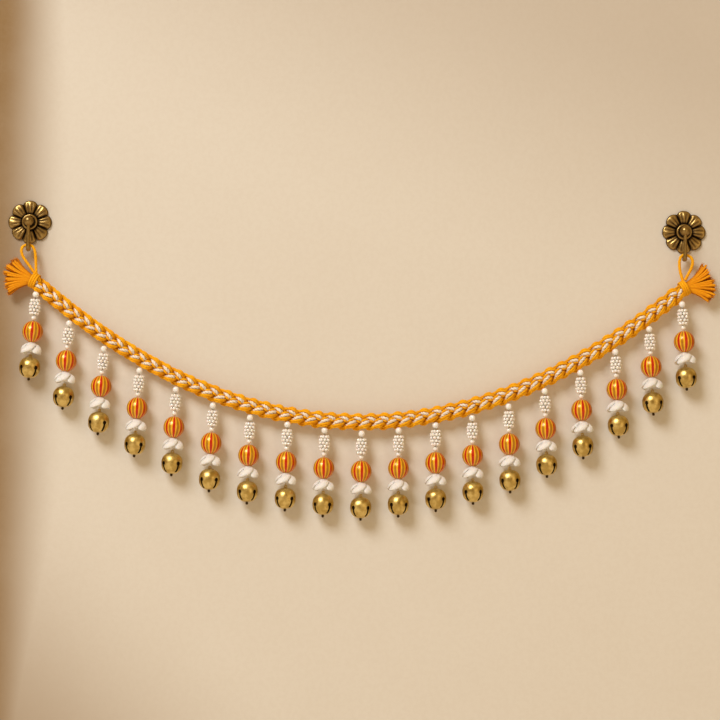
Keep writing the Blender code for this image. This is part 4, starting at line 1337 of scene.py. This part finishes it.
# %% Stage
def wall_surface(tree):
    place = add(tree, "ShaderNodeTexCoord").outputs["Object"]
    flat = add(tree, "ShaderNodeSeparateXYZ", {0: place})
    # Painted shade: the wall is darkened towards the far left, the lower left corner and the upper right, where the
    # light falls off.
    left = ranged(tree, flat.outputs[0], -0.505, -0.400, 1.0, 0.0)
    corner = ranged(tree, math_of(tree, "ADD", flat.outputs[0], flat.outputs[2]), -1.30, -0.75, 0.75, 0.0)
    high = ranged(tree, math_of(tree, "ADD", math_of(tree, "MULTIPLY", flat.outputs[0], 0.4), flat.outputs[2]),
                  0.0, 0.50, 0.0, 0.34)
    shade = math_of(tree, "MAXIMUM", math_of(tree, "MAXIMUM", left, corner), high)
    colour = mixed(tree, shade, rgb(0.725, 0.70, 0.64), rgb(0.27, 0.17, 0.072))
    grain = noise(tree, place, 6.0, 3.0)
    colour = mixed(tree, ranged(tree, grain, 0.35, 0.7, 0.0, 0.12), colour, rgb(0.67, 0.62, 0.54))
    plaster = noise(tree, place, 150.0, 4.0, 0.7)
    colour = mixed(tree, ranged(tree, plaster, 0.40, 0.62, 0.0, 0.05), colour, rgb(0.45, 0.36, 0.26))
    bump = add(tree, "ShaderNodeBump", {"Strength": 0.12, "Distance": 0.0010, "Height": plaster})
    matt = add(tree, "ShaderNodeBsdfPrincipled",
               {"Base Color": colour, "Roughness": 0.9, "Normal": bump.outputs[0]})
    behind = add(tree, "ShaderNodeNewGeometry").outputs["Backfacing"]
    clear = add(tree, "ShaderNodeBsdfTransparent")
    return add(tree, "ShaderNodeMixShader", {0: behind, 1: matt.outputs[0], 2: clear.outputs[0]})


def floor_surface(tree):
    place = add(tree, "ShaderNodeTexCoord").outputs["Object"]
    colour = mixed(tree, noise(tree, place, 3.0), rgb(0.74, 0.68, 0.60), rgb(0.78, 0.72, 0.64))
    return add(tree, "ShaderNodeBsdfPrincipled", {"Base Color": colour, "Roughness": 0.85})


def flat_sheet(name, corners, material):
    mesh = bpy.data.meshes.new(name)
    mesh.from_pydata(corners, [], [(0, 1, 2, 3)])
    mesh.materials.append(material)
    sheet = new_object(name, mesh)
    return sheet


WALL_Y = 0.0012
FLOOR_Z = -0.80
backdrop = flat_sheet("backdrop", [(-2.2, WALL_Y, FLOOR_Z), (2.2, WALL_Y, FLOOR_Z), (2.2, WALL_Y, 1.6),
                                   (-2.2, WALL_Y, 1.6)], new_material("cream_wall", wall_surface))
backdrop.visible_shadow = False
backdrop.visible_diffuse = False
backdrop.visible_glossy = False
floor = flat_sheet("floor", [(-4, -4, FLOOR_Z), (4, -4, FLOOR_Z), (4, 4, FLOOR_Z), (-4, 4, FLOOR_Z)],
                   new_material("pale_floor", floor_surface))


# %% Lights
def area_light(name, place, target, size, power, colour):
    light = bpy.data.lights.new(name, "AREA")
    light.shape = "DISK"
    light.size = size
    light.energy = power
    light.color = colour
    lamp = bpy.data.objects.new(name, light)
    lamp.location = place
    lamp.rotation_euler = (Vector(target) - Vector(place)).to_track_quat("-Z", "Y").to_euler()
    scene.collection.objects.link(lamp)
    return lamp


area_light("key", (-2.5, -3.9, 3.5), (0, 0, -0.25), 2.8, 246, (1.0, 0.985, 0.97))
area_light("fill", (2.6, -3.4, 0.3), (0, 0, -0.25), 2.2, 14, (1.0, 0.78, 0.50))
back_lamp = area_light("back", (0.8, 2.2, 1.2), (0, 0, -0.25), 1.5, 14, (1.0, 0.95, 0.9))
back_lamp.visible_glossy = False

world = bpy.data.worlds.new("studio")
world.use_nodes = True
world.node_tree.nodes.clear()
direction = add(world.node_tree, "ShaderNodeTexCoord").outputs["Generated"]
height = add(world.node_tree, "ShaderNodeSeparateXYZ", {0: direction}).outputs[2]
room = mixed(world.node_tree, ranged(world.node_tree, height, -0.55, 0.75), rgb(0.36, 0.18, 0.04), rgb(1.0, 0.64, 0.24))
sky = add(world.node_tree, "ShaderNodeBackground", {"Color": room, "Strength": 0.50})
add(world.node_tree, "ShaderNodeOutputWorld", {"Surface": sky.outputs[0]})
scene.world = world

# %% Triangle count
triangles = sum(len(polygon.vertices) - 2 for obj in scene.objects
                if obj.type == "MESH" and not obj.hide_render for polygon in obj.data.polygons)
print("shown triangles", triangles)
